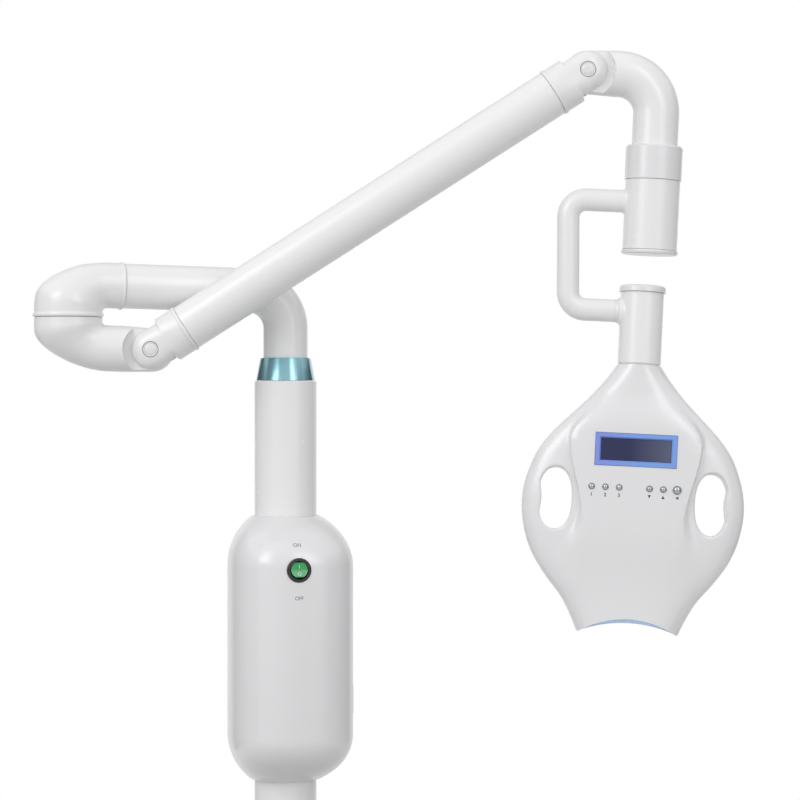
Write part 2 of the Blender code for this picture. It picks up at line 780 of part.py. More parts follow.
# Pole
def build_pole():
    profile = [
        (POLE_RADIUS - POLE_EDGE, POLE_TOP),
        (POLE_RADIUS, POLE_TOP - POLE_EDGE),
        (POLE_RADIUS, POLE_BOTTOM),
        (POLE_BORE, POLE_BOTTOM),
        (POLE_BORE, POLE_TOP),
    ]
    turned("stand_pole", profile, POLE_FACETS, closed=True, parent=None, material=LACQUER)
    low = HUB_TOP + GAP
    inner = POLE_WAY
    outer = inner + COLLAR_WALL
    profile = [
        (outer - COLLAR_EDGE, low + COLLAR_HEIGHT),
        (outer, low + COLLAR_HEIGHT - COLLAR_EDGE),
        (outer, low),
        (inner, low),
        (inner, low + COLLAR_HEIGHT),
    ]
    turned("base_collar", profile, POLE_FACETS, closed=True, parent=None, material=CHROME)
    low = POLE_TOP + GAP
    high = low + TOP_RING_HEIGHT
    inner = bore_for(TUBE_RADIUS, POLE_FACETS)
    profile = [
        (TOP_RING_TOP_RADIUS - TOP_RING_EDGE, high),
        (TOP_RING_TOP_RADIUS, high - TOP_RING_EDGE),
        (TOP_RING_BOTTOM_RADIUS, low),
        (inner, low),
        (inner, high),
    ]
    turned("pole_top_ring", profile, POLE_FACETS, closed=True, parent=None, material=TEAL)
    outer = POLE_BORE - GAP
    ledge = BUSH_BOTTOM + BUSH_LEDGE_HEIGHT
    profile = [
        (outer, POLE_TOP),
        (outer, BUSH_BOTTOM),
        (inner - BUSH_LEDGE_WIDTH, BUSH_BOTTOM),
        (inner - BUSH_LEDGE_WIDTH, ledge),
        (inner, ledge),
        (inner, POLE_TOP),
    ]
    turned("pole_swivel_bush", profile, POLE_FACETS, closed=True, parent=None, material=NYLON)


# Control box
def box_ring(height_share, inset):
    """A box section, at a share of the way from its bottom to its top."""
    height = mixed(BOX_BOTTOM + inset, BOX_TOP - inset, height_share)
    from_end = min(height - BOX_BOTTOM, BOX_TOP - height)
    into_end = max(0, BOX_END_HEIGHT - from_end)
    end_width = BOX_NECK_RADIUS / BOX_HALF_WIDTH
    curve_height = BOX_END_HEIGHT / sqrt(1 - end_width**2)
    width_share = sqrt(1 - (into_end / curve_height) ** 2)
    fullness = (width_share - end_width) / (1 - end_width)
    half = BOX_HALF_WIDTH * width_share - inset
    front = mixed(BOX_NECK_RADIUS, BOX_FRONT, fullness) - inset
    rear = mixed(BOX_NECK_RADIUS, BOX_REAR, fullness) - inset
    power = 2 / mixed(2, BOX_CORNER_POWER, fullness)
    ring = []
    for i in range(BOX_RING_POINTS):
        angle = 2 * pi * i / BOX_RING_POINTS
        c, s = cos(angle), sin(angle)
        x = half * abs(c) ** power * (1 if c > 0 else -1)
        y = (rear + front) / 2 * abs(s) ** power * (1 if s > 0 else -1)
        ring.append((x, y + (rear - front) / 2, height))
    return ring


def box_shares(inset):
    """Ring places that follow the two round ends."""
    span = BOX_TOP - BOX_BOTTOM - 2 * inset
    shares = []
    for i in range(BOX_END_RINGS + 1):
        angle = pi / 2 * i / BOX_END_RINGS
        shares.append((BOX_END_HEIGHT - inset) * (1 - cos(angle)) / span)
    return shares + [1 - share for share in reversed(shares)]


def box_solid(name, inset, **placing):
    return lofted(name, [box_ring(share, inset) for share in box_shares(inset)], **placing)


def build_box():
    boxes = frame("control_box", None, turn=(0, 0, BOX_TURN))
    build_switch(boxes)
    build_inlet(boxes)
    far = BOX_FRONT + CUT_OVERRUN
    pole_way = rod(
        "box_pole_way", POLE_WAY, BOX_BOTTOM - CUT_OVERRUN, BOX_TOP + CUT_OVERRUN,
        POLE_FACETS, parent=boxes,
    )
    room = box_solid("box_room", BOX_WALL, parent=boxes)
    seat = BOX_FRONT + BEZEL_PROUD - BEZEL_FLANGE - GAP
    deep = seat - BARREL_LENGTH
    profile = [
        (0, far),
        (BEZEL_RADIUS + GAP, far),
        (BEZEL_RADIUS + GAP, seat),
        (BARREL_RADIUS + GAP, seat),
        (BARREL_RADIUS + GAP, deep),
        (0, deep),
    ]
    switch_way = turned(
        "switch_way", profile, TUBE_FACETS, parent=boxes,
        at=(SWITCH_OFFSET, 0, SWITCH_HEIGHT), turn=(radians(90), 0, 0),
    )
    inlet_ways = []
    for name, width, height, depth in (
        ("inlet_way", INLET_FLANGE_WIDTH, INLET_FLANGE_HEIGHT, INLET_FLANGE_DEPTH),
        ("inlet_body_way", INLET_BODY_WIDTH, INLET_BODY_HEIGHT, INLET_BODY_DEPTH),
    ):
        half_y, half_z = width / 2 + GAP, height / 2 + GAP
        inlet_ways.append(
            block(
                name,
                (BOX_HALF_WIDTH - depth - GAP, -INLET_SETBACK - half_y, INLET_HEIGHT - half_z),
                (BOX_HALF_WIDTH + depth, -INLET_SETBACK + half_y, INLET_HEIGHT + half_z),
                parent=boxes,
            )
        )
    inlet_way, inlet_body_way = inlet_ways
    cut(inlet_way, inlet_body_way, operation="UNION")
    for name, low, high in (
        ("box_front_cover", -GAP / 2, far),
        ("box_rear_cover", -far, -GAP / 2),
    ):
        cover = box_solid(name, 0, parent=boxes, material=WHITE)
        wide = BOX_HALF_WIDTH + CUT_OVERRUN
        away = block(
            name + "_away", (-wide, low, BOX_BOTTOM - CUT_OVERRUN),
            (wide, high + GAP, BOX_TOP + CUT_OVERRUN), parent=boxes,
        )
        cut(cover, room, pole_way, away)
        if name == "box_front_cover":
            cut(cover, switch_way, inlet_way)
    build_box_inside(boxes)


def build_box_inside(boxes):
    """The clamp that holds the box to the pole, and the supply on its ear."""
    middle = mixed(BOX_BOTTOM, BOX_TOP, CLAMP_CENTRE_SHARE)
    low, high = middle - CLAMP_HEIGHT / 2, middle + CLAMP_HEIGHT / 2
    inner = POLE_WAY
    outer = inner + CLAMP_WALL
    clamp = hollow(
        "box_clamp", outer, inner, low, high, POLE_FACETS, parent=boxes, material=ALUMINIUM
    )
    supply_back = -(BOX_FRONT - BOX_WALL - SUPPLY_ROOM - SUPPLY_DEPTH)
    ear = block(
        "clamp_ear", (-CLAMP_EAR_WIDTH / 2, supply_back + GAP, low),
        (CLAMP_EAR_WIDTH / 2, -inner - CLAMP_WALL / 2, high), parent=boxes,
    )
    cut(clamp, ear, operation="UNION")
    centre = mixed(BOX_BOTTOM, BOX_TOP, SUPPLY_CENTRE_SHARE)
    block(
        "power_supply",
        (-SUPPLY_WIDTH / 2, supply_back - SUPPLY_DEPTH, centre - SUPPLY_HEIGHT / 2),
        (SUPPLY_WIDTH / 2, supply_back, centre + SUPPLY_HEIGHT / 2),
        edge=SUPPLY_EDGE, parent=boxes, material=STEEL,
    )


def build_switch(boxes):
    """A round bezel with a rocker that pivots about the box's X axis."""
    face = -BOX_FRONT - BEZEL_PROUD
    holder = frame("switch_seat", boxes, (SWITCH_OFFSET, face, SWITCH_HEIGHT))
    flat = -BEZEL_FLANGE
    floor = -ROCKER_PIVOT_DEPTH * 2 - ROCKER_BACK
    profile = [
        (0, floor),
        (ROCKER_WELL_RADIUS, floor),
        (ROCKER_WELL_RADIUS, 0),
        (BEZEL_RADIUS - BEZEL_PROUD, 0),
        (BEZEL_RADIUS, -BEZEL_PROUD),
        (BEZEL_RADIUS, flat),
        (BARREL_RADIUS, flat),
        (BARREL_RADIUS, -BARREL_LENGTH),
        (0, -BARREL_LENGTH),
    ]
    turned(
        "switch_bezel", profile, TUBE_FACETS, parent=holder, turn=(radians(90), 0, 0),
        material=BLACK,
    )
    pivot = frame("rocker_pivot", holder, (0, ROCKER_PIVOT_DEPTH, 0), (-ROCKER_SLOPE, 0, 0))
    front = -ROCKER_PIVOT_DEPTH - ROCKER_PROUD + ROCKER_RADIUS * tan(ROCKER_SLOPE)
    tip = -ROCKER_PIVOT_DEPTH - ROCKER_PROUD
    start = atan2(-tip, ROCKER_RADIUS)
    end = -atan2(ROCKER_BACK, ROCKER_RADIUS)
    arc = [mixed(start, end, i / ROCKER_ARC_STEPS) for i in range(ROCKER_ARC_STEPS + 1)]
    top = [(-sin(a) * ROCKER_RADIUS, cos(a) * ROCKER_RADIUS) for a in arc]
    side = [(front, 0)] + top + [(y, -z) for y, z in reversed(top)]
    rings = [[(x, y, z) for y, z in side] for x in (-ROCKER_RADIUS, ROCKER_RADIUS)]
    rocker = lofted("switch_rocker", rings, parent=pivot, material=GREEN)
    rounding = rod(
        "rocker_rounding", ROCKER_RADIUS, -ROCKER_RADIUS * 2, ROCKER_RADIUS * 2, TUBE_FACETS,
        parent=pivot, turn=ALONG_Y,
    )
    cut(rocker, rounding, operation="INTERSECT")


def build_inlet(boxes):
    """A recessed three-pin inlet, facing +X in the box's frame."""
    face = BOX_HALF_WIDTH
    socket = frame("inlet_seat_frame", boxes, (face, -INLET_SETBACK, INLET_HEIGHT))
    inlet = block(
        "mains_inlet", (-INLET_FLANGE_DEPTH, -INLET_FLANGE_WIDTH / 2, -INLET_FLANGE_HEIGHT / 2),
        (0, INLET_FLANGE_WIDTH / 2, INLET_FLANGE_HEIGHT / 2), parent=socket, material=BLACK,
    )
    body = block(
        "inlet_body",
        (-INLET_BODY_DEPTH, -INLET_BODY_WIDTH / 2, -INLET_BODY_HEIGHT / 2),
        (-INLET_FLANGE_DEPTH / 2, INLET_BODY_WIDTH / 2, INLET_BODY_HEIGHT / 2), parent=socket,
    )
    half_y, half_z = INLET_SOCKET_WIDTH / 2, INLET_SOCKET_HEIGHT / 2
    outline = [
        (half_y, half_z - INLET_CORNER * 2),
        (half_y - INLET_CORNER * 2, half_z),
        (-half_y + INLET_CORNER * 2, half_z),
        (-half_y, half_z - INLET_CORNER * 2),
        (-half_y, -half_z),
        (half_y, -half_z),
    ]
    rings = [[(x, y, z) for y, z in outline] for x in (-INLET_SOCKET_DEPTH, CUT_OVERRUN)]
    recess = lofted("inlet_recess", rings, parent=socket)
    cut(inlet, body, operation="UNION")
    cut(inlet, recess)
    half_t, half_w = INLET_PIN_THICKNESS / 2, INLET_PIN_WIDTH / 2
    root = -INLET_SOCKET_DEPTH - INLET_PIN_THICKNESS / 2
    pins = []
    for name, y, z in (
        ("pin_left", -INLET_PIN_SPACING, -INLET_PIN_RISE),
        ("pin_earth", 0, INLET_PIN_RISE),
        ("pin_right", INLET_PIN_SPACING, -INLET_PIN_RISE),
    ):
        pins.append(
            block(
                name, (root, y - half_t, z - half_w),
                (root + INLET_PIN_LENGTH, y + half_t, z + half_w), parent=socket,
            )
        )
    cut(inlet, *pins, operation="UNION")


# Elbow castings
def elbow_stations(power, rise, end_turn):
    """Sections that fan round the inner corner, from the wide flange to the arm's tube."""
    pivot_x = ELBOW_CORNER_REACH
    wide = ELBOW_CORNER_REACH + ELBOW_BODY_RADIUS
    tall = ELBOW_INNER_RADIUS + 2 * TUBE_RADIUS
    first_inner = ELBOW_CORNER_REACH - ELBOW_BODY_RADIUS
    stations = [
        (0, 0, pi / 2, FLANGE_RADIUS),
        (0, FLANGE_HEIGHT, pi / 2, FLANGE_RADIUS),
        (0, FLANGE_HEIGHT + ELBOW_LIP_RISE, pi / 2, ELBOW_BODY_RADIUS),
    ]
    for i in range(ELBOW_STEPS + 1):
        share = i / ELBOW_STEPS
        fan = (pi / 2 + end_turn) * share
        round_fan = pi / 2 * share
        outer = (
            (cos(round_fan) / wide) ** power + (sin(round_fan) / tall) ** power
        ) ** (-1 / power)
        inner = mixed(first_inner, ELBOW_INNER_RADIUS, share)
        middle = (inner + outer) / 2
        x = pivot_x - middle * cos(fan)
        z = rise + middle * sin(fan)
        stations.append((x, z, pi / 2 - fan, (outer - inner) / 2))
    return stations


def build_swing_arm():
    swing = frame("swing_axis", None, (0, 0, 0), (0, 0, SWING_TURN))
    corner_height = SWING_HEIGHT - SWING_LENGTH * tan(SWING_RISE)
    foot = BUSH_BOTTOM + BUSH_LEDGE_HEIGHT + GAP
    reach = SWING_LENGTH - ELBOW_FACE_GAP
    end_height = corner_height + reach * tan(SWING_RISE)
    corners = [(0, foot), (0, corner_height), (reach, end_height)]
    tube = pipe(
        "swing_arm_tube", pipe_stations(corners, TUBE_BEND, TUBE_RADIUS),
        parent=swing, material=LACQUER,
    )
    heading = SWING_RISE
    past = [
        (0, foot - CUT_OVERRUN),
        (0, corner_height),
        (reach + CUT_OVERRUN * cos(heading), end_height + CUT_OVERRUN * sin(heading)),
    ]
    bore = pipe("swing_bore", pipe_stations(past, TUBE_BEND, TUBE_BORE), parent=swing)
    cut(tube, bore)
    build_upper_elbow(swing)
    return swing


def build_upper_elbow(swing):
    seat = frame(
        "upper_elbow_seat", swing, (SWING_LENGTH, 0, SWING_HEIGHT - SEAM_DROP), (0, 0, pi)
    )
    stations = elbow_stations(UPPER_ELBOW_POWER, UPPER_ELBOW_RISE, SWING_RISE)
    x, z, heading, radius = stations[-1]
    face = (ELBOW_FACE_REACH - x) / cos(heading)
    lip = ELBOW_LIP_WIDTH
    steps = [
        (face - lip - ELBOW_LIP_RISE, radius),
        (face - lip, radius + ELBOW_LIP_RISE),
        (face, radius + ELBOW_LIP_RISE),
        (face, TUBE_BORE - GAP),
        (face + SPIGOT_LENGTH, TUBE_BORE - GAP),
    ]
    stations += straight_stations((x, z), heading, steps)
    elbow = pipe("upper_elbow", stations, parent=seat, material=CREAM)
    spindle_way = rod(
        "upper_spindle_way", SPINDLE_WAY, -CUT_OVERRUN, SPINDLE_LENGTH / 2 + GAP,
        TUBE_FACETS, parent=seat,
    )
    way = [
        (0, z - x * tan(heading), heading, ELBOW_CABLE_RADIUS),
        *straight_stations(
            (x, z), heading, [(face + SPIGOT_LENGTH + CUT_OVERRUN, ELBOW_CABLE_RADIUS)]
        ),
    ]
    cable_way = pipe("upper_cable_way", way, SMALL_FACETS, parent=seat)
    cut(elbow, spindle_way, cable_way)
    half = SPINDLE_LENGTH / 2
    hollow(
        "elbow_spindle", SPINDLE_RADIUS, SPINDLE_BORE, -half, half, TUBE_FACETS,
        parent=seat, material=STEEL,
    )


# Hinges
def hinge_cuts(name, parent, at):
    """What leaves a tongue at a pipe's end: a disc off each side, and the bolt's bore."""
    half = TONGUE_THICKNESS / 2
    wide = TUBE_RADIUS + CUT_OVERRUN
    tools = [
        rod(
            f"{name}_shoulder_{side}", SHOULDER_RADIUS, low, high, TUBE_FACETS,
            parent=parent, at=at, turn=ALONG_Y,
        )
        for side, low, high in (("front", -wide, -half), ("rear", half, wide))
    ]
    tools.append(
        rod(
            f"{name}_bore", BOLT_WAY, -wide, wide, SMALL_FACETS,
            parent=parent, at=at, turn=ALONG_Y,
        )
    )
    return tools


def build_lower_elbow(swing):
    elbow_axis = frame("elbow_axis", swing, (SWING_LENGTH, 0, SWING_HEIGHT - SEAM_DROP))
    elbow_axis.rotation_euler = (0, 0, -SWING_TURN)
    flipped = frame("lower_elbow_seat", elbow_axis, (0, 0, -GAP), (pi, 0, 0))
    stations = elbow_stations(LOWER_ELBOW_POWER, LOWER_ELBOW_RISE, -LOWER_ARM_DROP)
    x, z, heading, radius = stations[-1]
    to_pin = (HINGE_REACH - x) / cos(heading)
    steps = [
        (to_pin - SHOULDER_RADIUS, radius),
        (to_pin, TONGUE_RADIUS),
        *dome_steps(to_pin, TONGUE_RADIUS),
    ]
    stations += straight_stations((x, z), heading, steps)
    elbow = pipe("lower_elbow", stations, parent=flipped, material=CREAM)
    spindle_way = rod(
        "lower_spindle_way", SPINDLE_WAY, -CUT_OVERRUN, SPINDLE_LENGTH / 2 + GAP,
        TUBE_FACETS, parent=flipped,
    )
    pin_at = (HINGE_REACH, 0, HINGE_DROP - GAP)
    cut(elbow, spindle_way, *hinge_cuts("lower_elbow", flipped, pin_at))
    return elbow_axis


def build_knuckle(name, parent, at, turn):
    """A socketed clevis: its own X axis runs from the tube to the pin."""
    steps = [
        (-SLEEVE_START - KNUCKLE_SPIGOT, MAIN_TUBE_RADIUS - MAIN_TUBE_WALL - GAP),
        (-SLEEVE_START, MAIN_TUBE_RADIUS - MAIN_TUBE_WALL - GAP),
        (-SLEEVE_START, MAIN_TUBE_RADIUS + SLEEVE_LIP_RISE),
        (-SLEEVE_START + SLEEVE_LIP_WIDTH, MAIN_TUBE_RADIUS + SLEEVE_LIP_RISE),
        (-SLEEVE_START + SLEEVE_LIP_WIDTH * 2, MAIN_TUBE_RADIUS),
        (-SLEEVE_END, MAIN_TUBE_RADIUS),
        (-SLEEVE_END + (MAIN_TUBE_RADIUS - EAR_RADIUS) / 2, EAR_RADIUS),
        (0, EAR_RADIUS),
        *dome_steps(0, EAR_RADIUS),
    ]
    seat = frame(name + "_seat", parent, at, turn)
    knuckle = pipe(name, straight_stations((0, 0), 0, steps), parent=seat, material=CREAM)
    half = TONGUE_THICKNESS / 2 + GAP
    slot = rod(f"{name}_slot", SLOT_RADIUS, -half, half, TUBE_FACETS, parent=seat, turn=ALONG_Y)
    wide = EAR_RADIUS + CUT_OVERRUN
    bore = rod(
        f"{name}_bore", BOLT_WAY, -wide, wide, SMALL_FACETS, parent=seat,
        turn=ALONG_Y,
    )
    recess = EAR_RADIUS - CAP_SINK - CAP_THICKNESS - GAP
    sinks = [
        rod(
            f"{name}_sink_{side}", bore_for(CAP_RADIUS, TUBE_FACETS), low, high, TUBE_FACETS,
            parent=seat, turn=ALONG_Y,
        )
        for side, low, high in (("front", -wide, -recess), ("rear", recess, wide))
    ]
    cut(knuckle, slot, bore, *sinks)
    return seat


def build_hinge_bolt(prefix, parent):
    """A bolt with its head at the back, and the cap that covers its nut in front."""
    face = EAR_RADIUS - CAP_SINK
    head = face - CAP_THICKNESS
    profile = [
        (0, face),
        (BOLT_HEAD_RADIUS, face),
        (BOLT_HEAD_RADIUS, head),
        (BOLT_RADIUS, head),
        (BOLT_RADIUS, -head + GAP),
        (0, -head + GAP),
    ]
    turned(
        prefix + "_hinge_bolt", profile, SMALL_FACETS, parent=parent,
        turn=ALONG_Y, material=STEEL,
    )
    profile = [
        (0, face + CAP_DOME),
        (CAP_RADIUS / 2, face + CAP_DOME * CAP_CROWN_SHARE),
        (CAP_RADIUS - CAP_DOME, face),
        (CAP_RADIUS, face - CAP_DOME),
        (CAP_RADIUS, head),
        (0, head),
    ]
    turned(
        prefix + "_hinge_cap", profile, TUBE_FACETS, parent=parent,
        turn=(radians(90), 0, 0), material=WHITE,
    )


def build_main_arm(elbow_axis):
    lower = frame(
        "lower_hinge", elbow_axis, (HINGE_REACH, 0, -HINGE_DROP), (0, -MAIN_RISE, 0)
    )
    end_gap = SLEEVE_START + GAP
    hollow(
        "main_arm_tube", MAIN_TUBE_RADIUS, MAIN_TUBE_RADIUS - MAIN_TUBE_WALL,
        end_gap, MAIN_LENGTH - end_gap, TUBE_FACETS, parent=lower, turn=ALONG_X,
        material=LACQUER,
    )
    build_knuckle("arm_lower_knuckle", lower, (0, 0, 0), (0, pi, 0))
    build_knuckle("arm_upper_knuckle", lower, (MAIN_LENGTH, 0, 0), (0, 0, 0))
    build_hinge_bolt("lower", lower)
    upper = frame(
        "upper_hinge", lower, (MAIN_LENGTH, 0, 0), (0, MAIN_RISE + HANG_LEAN, 0)
    )
    build_hinge_bolt("upper", upper)
    return upper


# Gooseneck and swivel
def build_gooseneck(upper):
    swivel_top = -SWIVEL_DROP
    collar_top = swivel_top + SWIVEL_COLLAR_HEIGHT
    spigot_end = swivel_top + SWIVEL_COLLAR_SHOULDER + GAP
    corners = [
        (SHOULDER_RADIUS, -GOOSE_DROP),
        (GOOSE_REACH, -GOOSE_DROP),
        (GOOSE_REACH, spigot_end),
    ]
    tongue = [*reversed(dome_steps(0, TONGUE_RADIUS)), (0, TONGUE_RADIUS)]
    stations = [(-d, -GOOSE_DROP, 0, r) for d, r in tongue]
    stations += pipe_stations(corners, GOOSE_BEND, TUBE_RADIUS)
    goose = pipe("gooseneck", stations, parent=upper, material=LACQUER)
    past = [
        (SHOULDER_RADIUS + TUBE_WALL, -GOOSE_DROP),
        (GOOSE_REACH, -GOOSE_DROP),
        (GOOSE_REACH, spigot_end - CUT_OVERRUN),
    ]
    bore = pipe("goose_bore", pipe_stations(past, GOOSE_BEND, TUBE_BORE), parent=upper)
    cut(goose, bore, *hinge_cuts("gooseneck", upper, (0, 0, 0)))
    inner = bore_for(TUBE_RADIUS, POLE_FACETS)
    profile = [
        (COLLAR_RADIUS - SWIVEL_COLLAR_SHOULDER / 2, collar_top),
        (COLLAR_RADIUS, collar_top - SWIVEL_COLLAR_SHOULDER / 2),
        (COLLAR_RADIUS, swivel_top),
        (SHAFT_WAY, swivel_top),
        (SHAFT_WAY, swivel_top + SWIVEL_COLLAR_SHOULDER),
        (inner, swivel_top + SWIVEL_COLLAR_SHOULDER),
        (inner, collar_top),
    ]
    turned(
        "swivel_collar", profile, POLE_FACETS, closed=True, parent=upper,
        at=(GOOSE_REACH, 0, 0), material=WHITE,
    )
    return frame("head_swivel", upper, (GOOSE_REACH, 0, -SWIVEL_DROP), (0, 0, HEAD_TURN))


def build_drop_tube(swivel):
    top = -GAP
    bottom = -DROP_LENGTH
    inner = DROP_RADIUS - DROP_WALL
    plate = top - DROP_TOP_THICKNESS
    profile = [
        (DROP_RADIUS, top),
        (DROP_RADIUS, bottom + DROP_RIM_HEIGHT),
        (inner, bottom + DROP_RIM_HEIGHT),
        (inner, plate),
        (SHAFT_WAY, plate),
        (SHAFT_WAY, top),
    ]
    tube = turned(
        "drop_tube", profile, POLE_FACETS, closed=True, parent=swivel, material=LACQUER
    )
    entry = rod(
        "handle_entry", bore_for(HANDLE_RADIUS, TUBE_FACETS), -DROP_RADIUS * 2, 0, TUBE_FACETS,
        parent=swivel, at=(0, 0, SWIVEL_DROP - HANDLE_TOP_DROP), turn=ALONG_X,
    )
    cut(tube, entry)
    rim = DROP_RADIUS + DROP_RIM_RISE
    high = bottom + DROP_RIM_HEIGHT - GAP
    profile = [
        (0, high + DROP_CAP_PLUG),
        (inner - GAP, high + DROP_CAP_PLUG),
        (inner - GAP, high),
        (rim, high),
        (rim, bottom + DROP_RIM_RISE),
        (rim - DROP_RIM_RISE * 2, bottom),
        (0, bottom),
    ]
    turned("drop_tube_cap", profile, POLE_FACETS, parent=swivel, material=WHITE)
    shaft_top = SWIVEL_COLLAR_SHOULDER
    profile = [
        (SWIVEL_FLANGE_RADIUS, shaft_top + GAP + GAP + SWIVEL_FLANGE_HEIGHT),
        (SWIVEL_FLANGE_RADIUS, shaft_top + GAP),
        (SWIVEL_SHAFT_RADIUS, shaft_top + GAP),
        (SWIVEL_SHAFT_RADIUS, plate - GAP),
        (SWIVEL_FLANGE_RADIUS, plate - GAP),
        (SWIVEL_FLANGE_RADIUS, plate - GAP - SWIVEL_FLANGE_HEIGHT),
        (SWIVEL_BORE_RADIUS, plate - GAP - SWIVEL_FLANGE_HEIGHT),
        (SWIVEL_BORE_RADIUS, shaft_top + GAP + GAP + SWIVEL_FLANGE_HEIGHT),
    ]
    turned(
        "swivel_spindle", profile, SMALL_FACETS, closed=True, parent=swivel, material=STEEL
    )


def build_handle(swivel):
    top = SWIVEL_DROP - HANDLE_TOP_DROP
    low = top - HANDLE_HEIGHT
    start = -DROP_RADIUS + HANDLE_ENTRY
    end = -NECK_OFFSET - BOSS_REACH - GAP - TILT_COLLAR_WIDTH - GAP
    corners = [(start, top), (-HANDLE_TOP_REACH, top), (-HANDLE_LOW_REACH, low), (end, low)]
    handle = pipe(
        "handle_tube", pipe_stations(corners, HANDLE_BEND, HANDLE_RADIUS), HANDLE_FACETS,
        parent=swivel, material=LACQUER,
    )
    inner = HANDLE_RADIUS - HANDLE_WALL
    past = [(start + CUT_OVERRUN, top), *corners[1:3], (end + CUT_OVERRUN, low)]
    bore = pipe(
        "handle_bore", pipe_stations(past, HANDLE_BEND, inner), SMALL_FACETS, parent=swivel
    )
    cut(handle, bore)
    return frame("head_tilt", swivel, (-NECK_OFFSET, 0, low), (-HEAD_PITCH, 0, 0))


# Neck and tilt pivot
def build_neck(tilt):
    inner = NECK_RADIUS - NECK_WALL
    profile = [
        (NECK_RADIUS, NECK_TOP),
        (NECK_RADIUS, -NECK_BOTTOM),
        (NECK_SPIGOT_RADIUS, -NECK_BOTTOM),
        (NECK_SPIGOT_RADIUS, -NECK_BOTTOM - NECK_SPIGOT_LENGTH),
        (inner - NECK_WALL, -NECK_BOTTOM - NECK_SPIGOT_LENGTH),
        (inner - NECK_WALL, -NECK_BOTTOM + NECK_WALL),
        (inner, -NECK_BOTTOM + NECK_WALL * 2),
        (inner, NECK_TOP),
    ]
    neck = turned("neck_tube", profile, POLE_FACETS, closed=True, parent=tilt, material=LACQUER)
    boss = rod(
        "neck_boss", BOSS_RADIUS, -BOSS_REACH, -inner, TUBE_FACETS, parent=tilt, turn=ALONG_X
    )
    boss_room = rod(
        "neck_room", inner, -BOSS_RADIUS - CUT_OVERRUN, BOSS_RADIUS + CUT_OVERRUN,
        POLE_FACETS, parent=tilt,
    )
    pin_way = rod(
        "tilt_pin_way", bore_for(TILT_PIN_RADIUS, SMALL_FACETS), -BOSS_REACH - CUT_OVERRUN, 0, SMALL_FACETS,
        parent=tilt, turn=ALONG_X,
    )
    cut(neck, boss, operation="UNION")
    cut(neck, boss_room, pin_way)
    collar_low = -BOSS_REACH - GAP - TILT_COLLAR_WIDTH
    hollow(
        "tilt_collar", TILT_COLLAR_RADIUS, bore_for(TILT_PIN_RADIUS, TUBE_FACETS), collar_low,
        collar_low + TILT_COLLAR_WIDTH, TUBE_FACETS, parent=tilt, turn=ALONG_X,
        material=WHITE,
    )
    pin_end = collar_low - GAP - TILT_PIN_GRIP
    head_low = -sqrt(inner**2 - TILT_PIN_HEAD_RADIUS**2) + GAP
    profile = [
        (0, head_low + TILT_PIN_HEAD_WIDTH),
        (TILT_PIN_HEAD_RADIUS, head_low + TILT_PIN_HEAD_WIDTH),
        (TILT_PIN_HEAD_RADIUS, head_low),
        (TILT_PIN_RADIUS, head_low),
        (TILT_PIN_RADIUS, pin_end),
        (0, pin_end),
    ]
    turned("tilt_pin", profile, SMALL_FACETS, parent=tilt, turn=ALONG_X, material=STEEL)
    low = NECK_TOP + GAP
    high = low + NECK_CAP_HEIGHT
    wide = NECK_RADIUS + NECK_CAP_RISE
    profile = [
        (0, high),
        (wide / 2, high - NECK_CAP_DOME * (1 - CAP_CROWN_SHARE)),
        (wide - NECK_CAP_DOME, high - NECK_CAP_DOME),
        (wide, high - NECK_CAP_DOME * 2),
        (wide, low),
        (inner - GAP, low),
        (inner - GAP, low - NECK_CAP_PLUG + GAP),
        (0, low - NECK_CAP_PLUG + GAP),
    ]
    turned("neck_cap", profile, POLE_FACETS, parent=tilt, material=WHITE)


# Lamp head
def head_half_width(share, inset):
    return HEAD_HALF_WIDTH * through(HEAD_OUTLINE_SHARES, share) - inset


def head_crease(share):
    """Half the width of the raised middle panel."""
    return HEAD_HALF_WIDTH * through(CREASE_SHARES, share)


def head_power(share):
    """The section's exponent: round at the neck, fuller further down."""
    return mixed(2, HEAD_EDGE_POWER, min(1, share / ROUND_NECK_SHARE))


def head_depth(share, x, inset, front):
    """How far the head's surface stands from its parting plane."""
    table = FRONT_DEPTHS if front else REAR_DEPTHS
    deep = eased(table, share) - inset
    half = head_half_width(share, inset)
    power = head_power(share)
    wing = deep * max(0, 1 - min(1, abs(x) / half) ** power) ** (1 / power)
    rise, shares = (PANEL_RISE, PANEL_SHARES) if front else (HUMP_RISE, HUMP_SHARES)
    outside = (abs(x) - head_crease(share)) / CREASE_WIDTH + MIDDLE_SHARE
    return wing + rise * eased(shares, share) * (1 - min(1, max(0, outside)))


def head_ring(share, inset):
    """A head section: wings, creases and the raised middle, front and rear."""
    z = mixed(HEAD_TOP, HEAD_BOTTOM, share)
    half = head_half_width(share, inset)
    power = head_power(share)
    outer_x = head_crease(share) + CREASE_WIDTH / 2
    inner_x = head_crease(share) - CREASE_WIDTH / 2
    last_step = sqrt(1 - (outer_x / half) ** power)
    steps = [last_step * k / WING_POINTS for k in range(WING_POINTS + 1)]
    places = [half * (1 - step**2) ** (1 / power) for step in steps]
    places += [inner_x * (1 - k / PANEL_POINTS) for k in range(PANEL_POINTS + 1)]
    right = [(x, -head_depth(share, x, inset, True)) for x in places]
    front = right + [(-x, y) for x, y in reversed(right[:-1])]
    rear = [(x, head_depth(share, x, inset, False)) for x, _ in reversed(front[1:-1])]
    return [(x, y, z) for x, y in front + rear]


def head_solid(name, **placing):
    shares = [i / (HEAD_RINGS - 1) for i in range(HEAD_RINGS)]
    return lofted(name, [head_ring(share, 0) for share in shares], **placing)


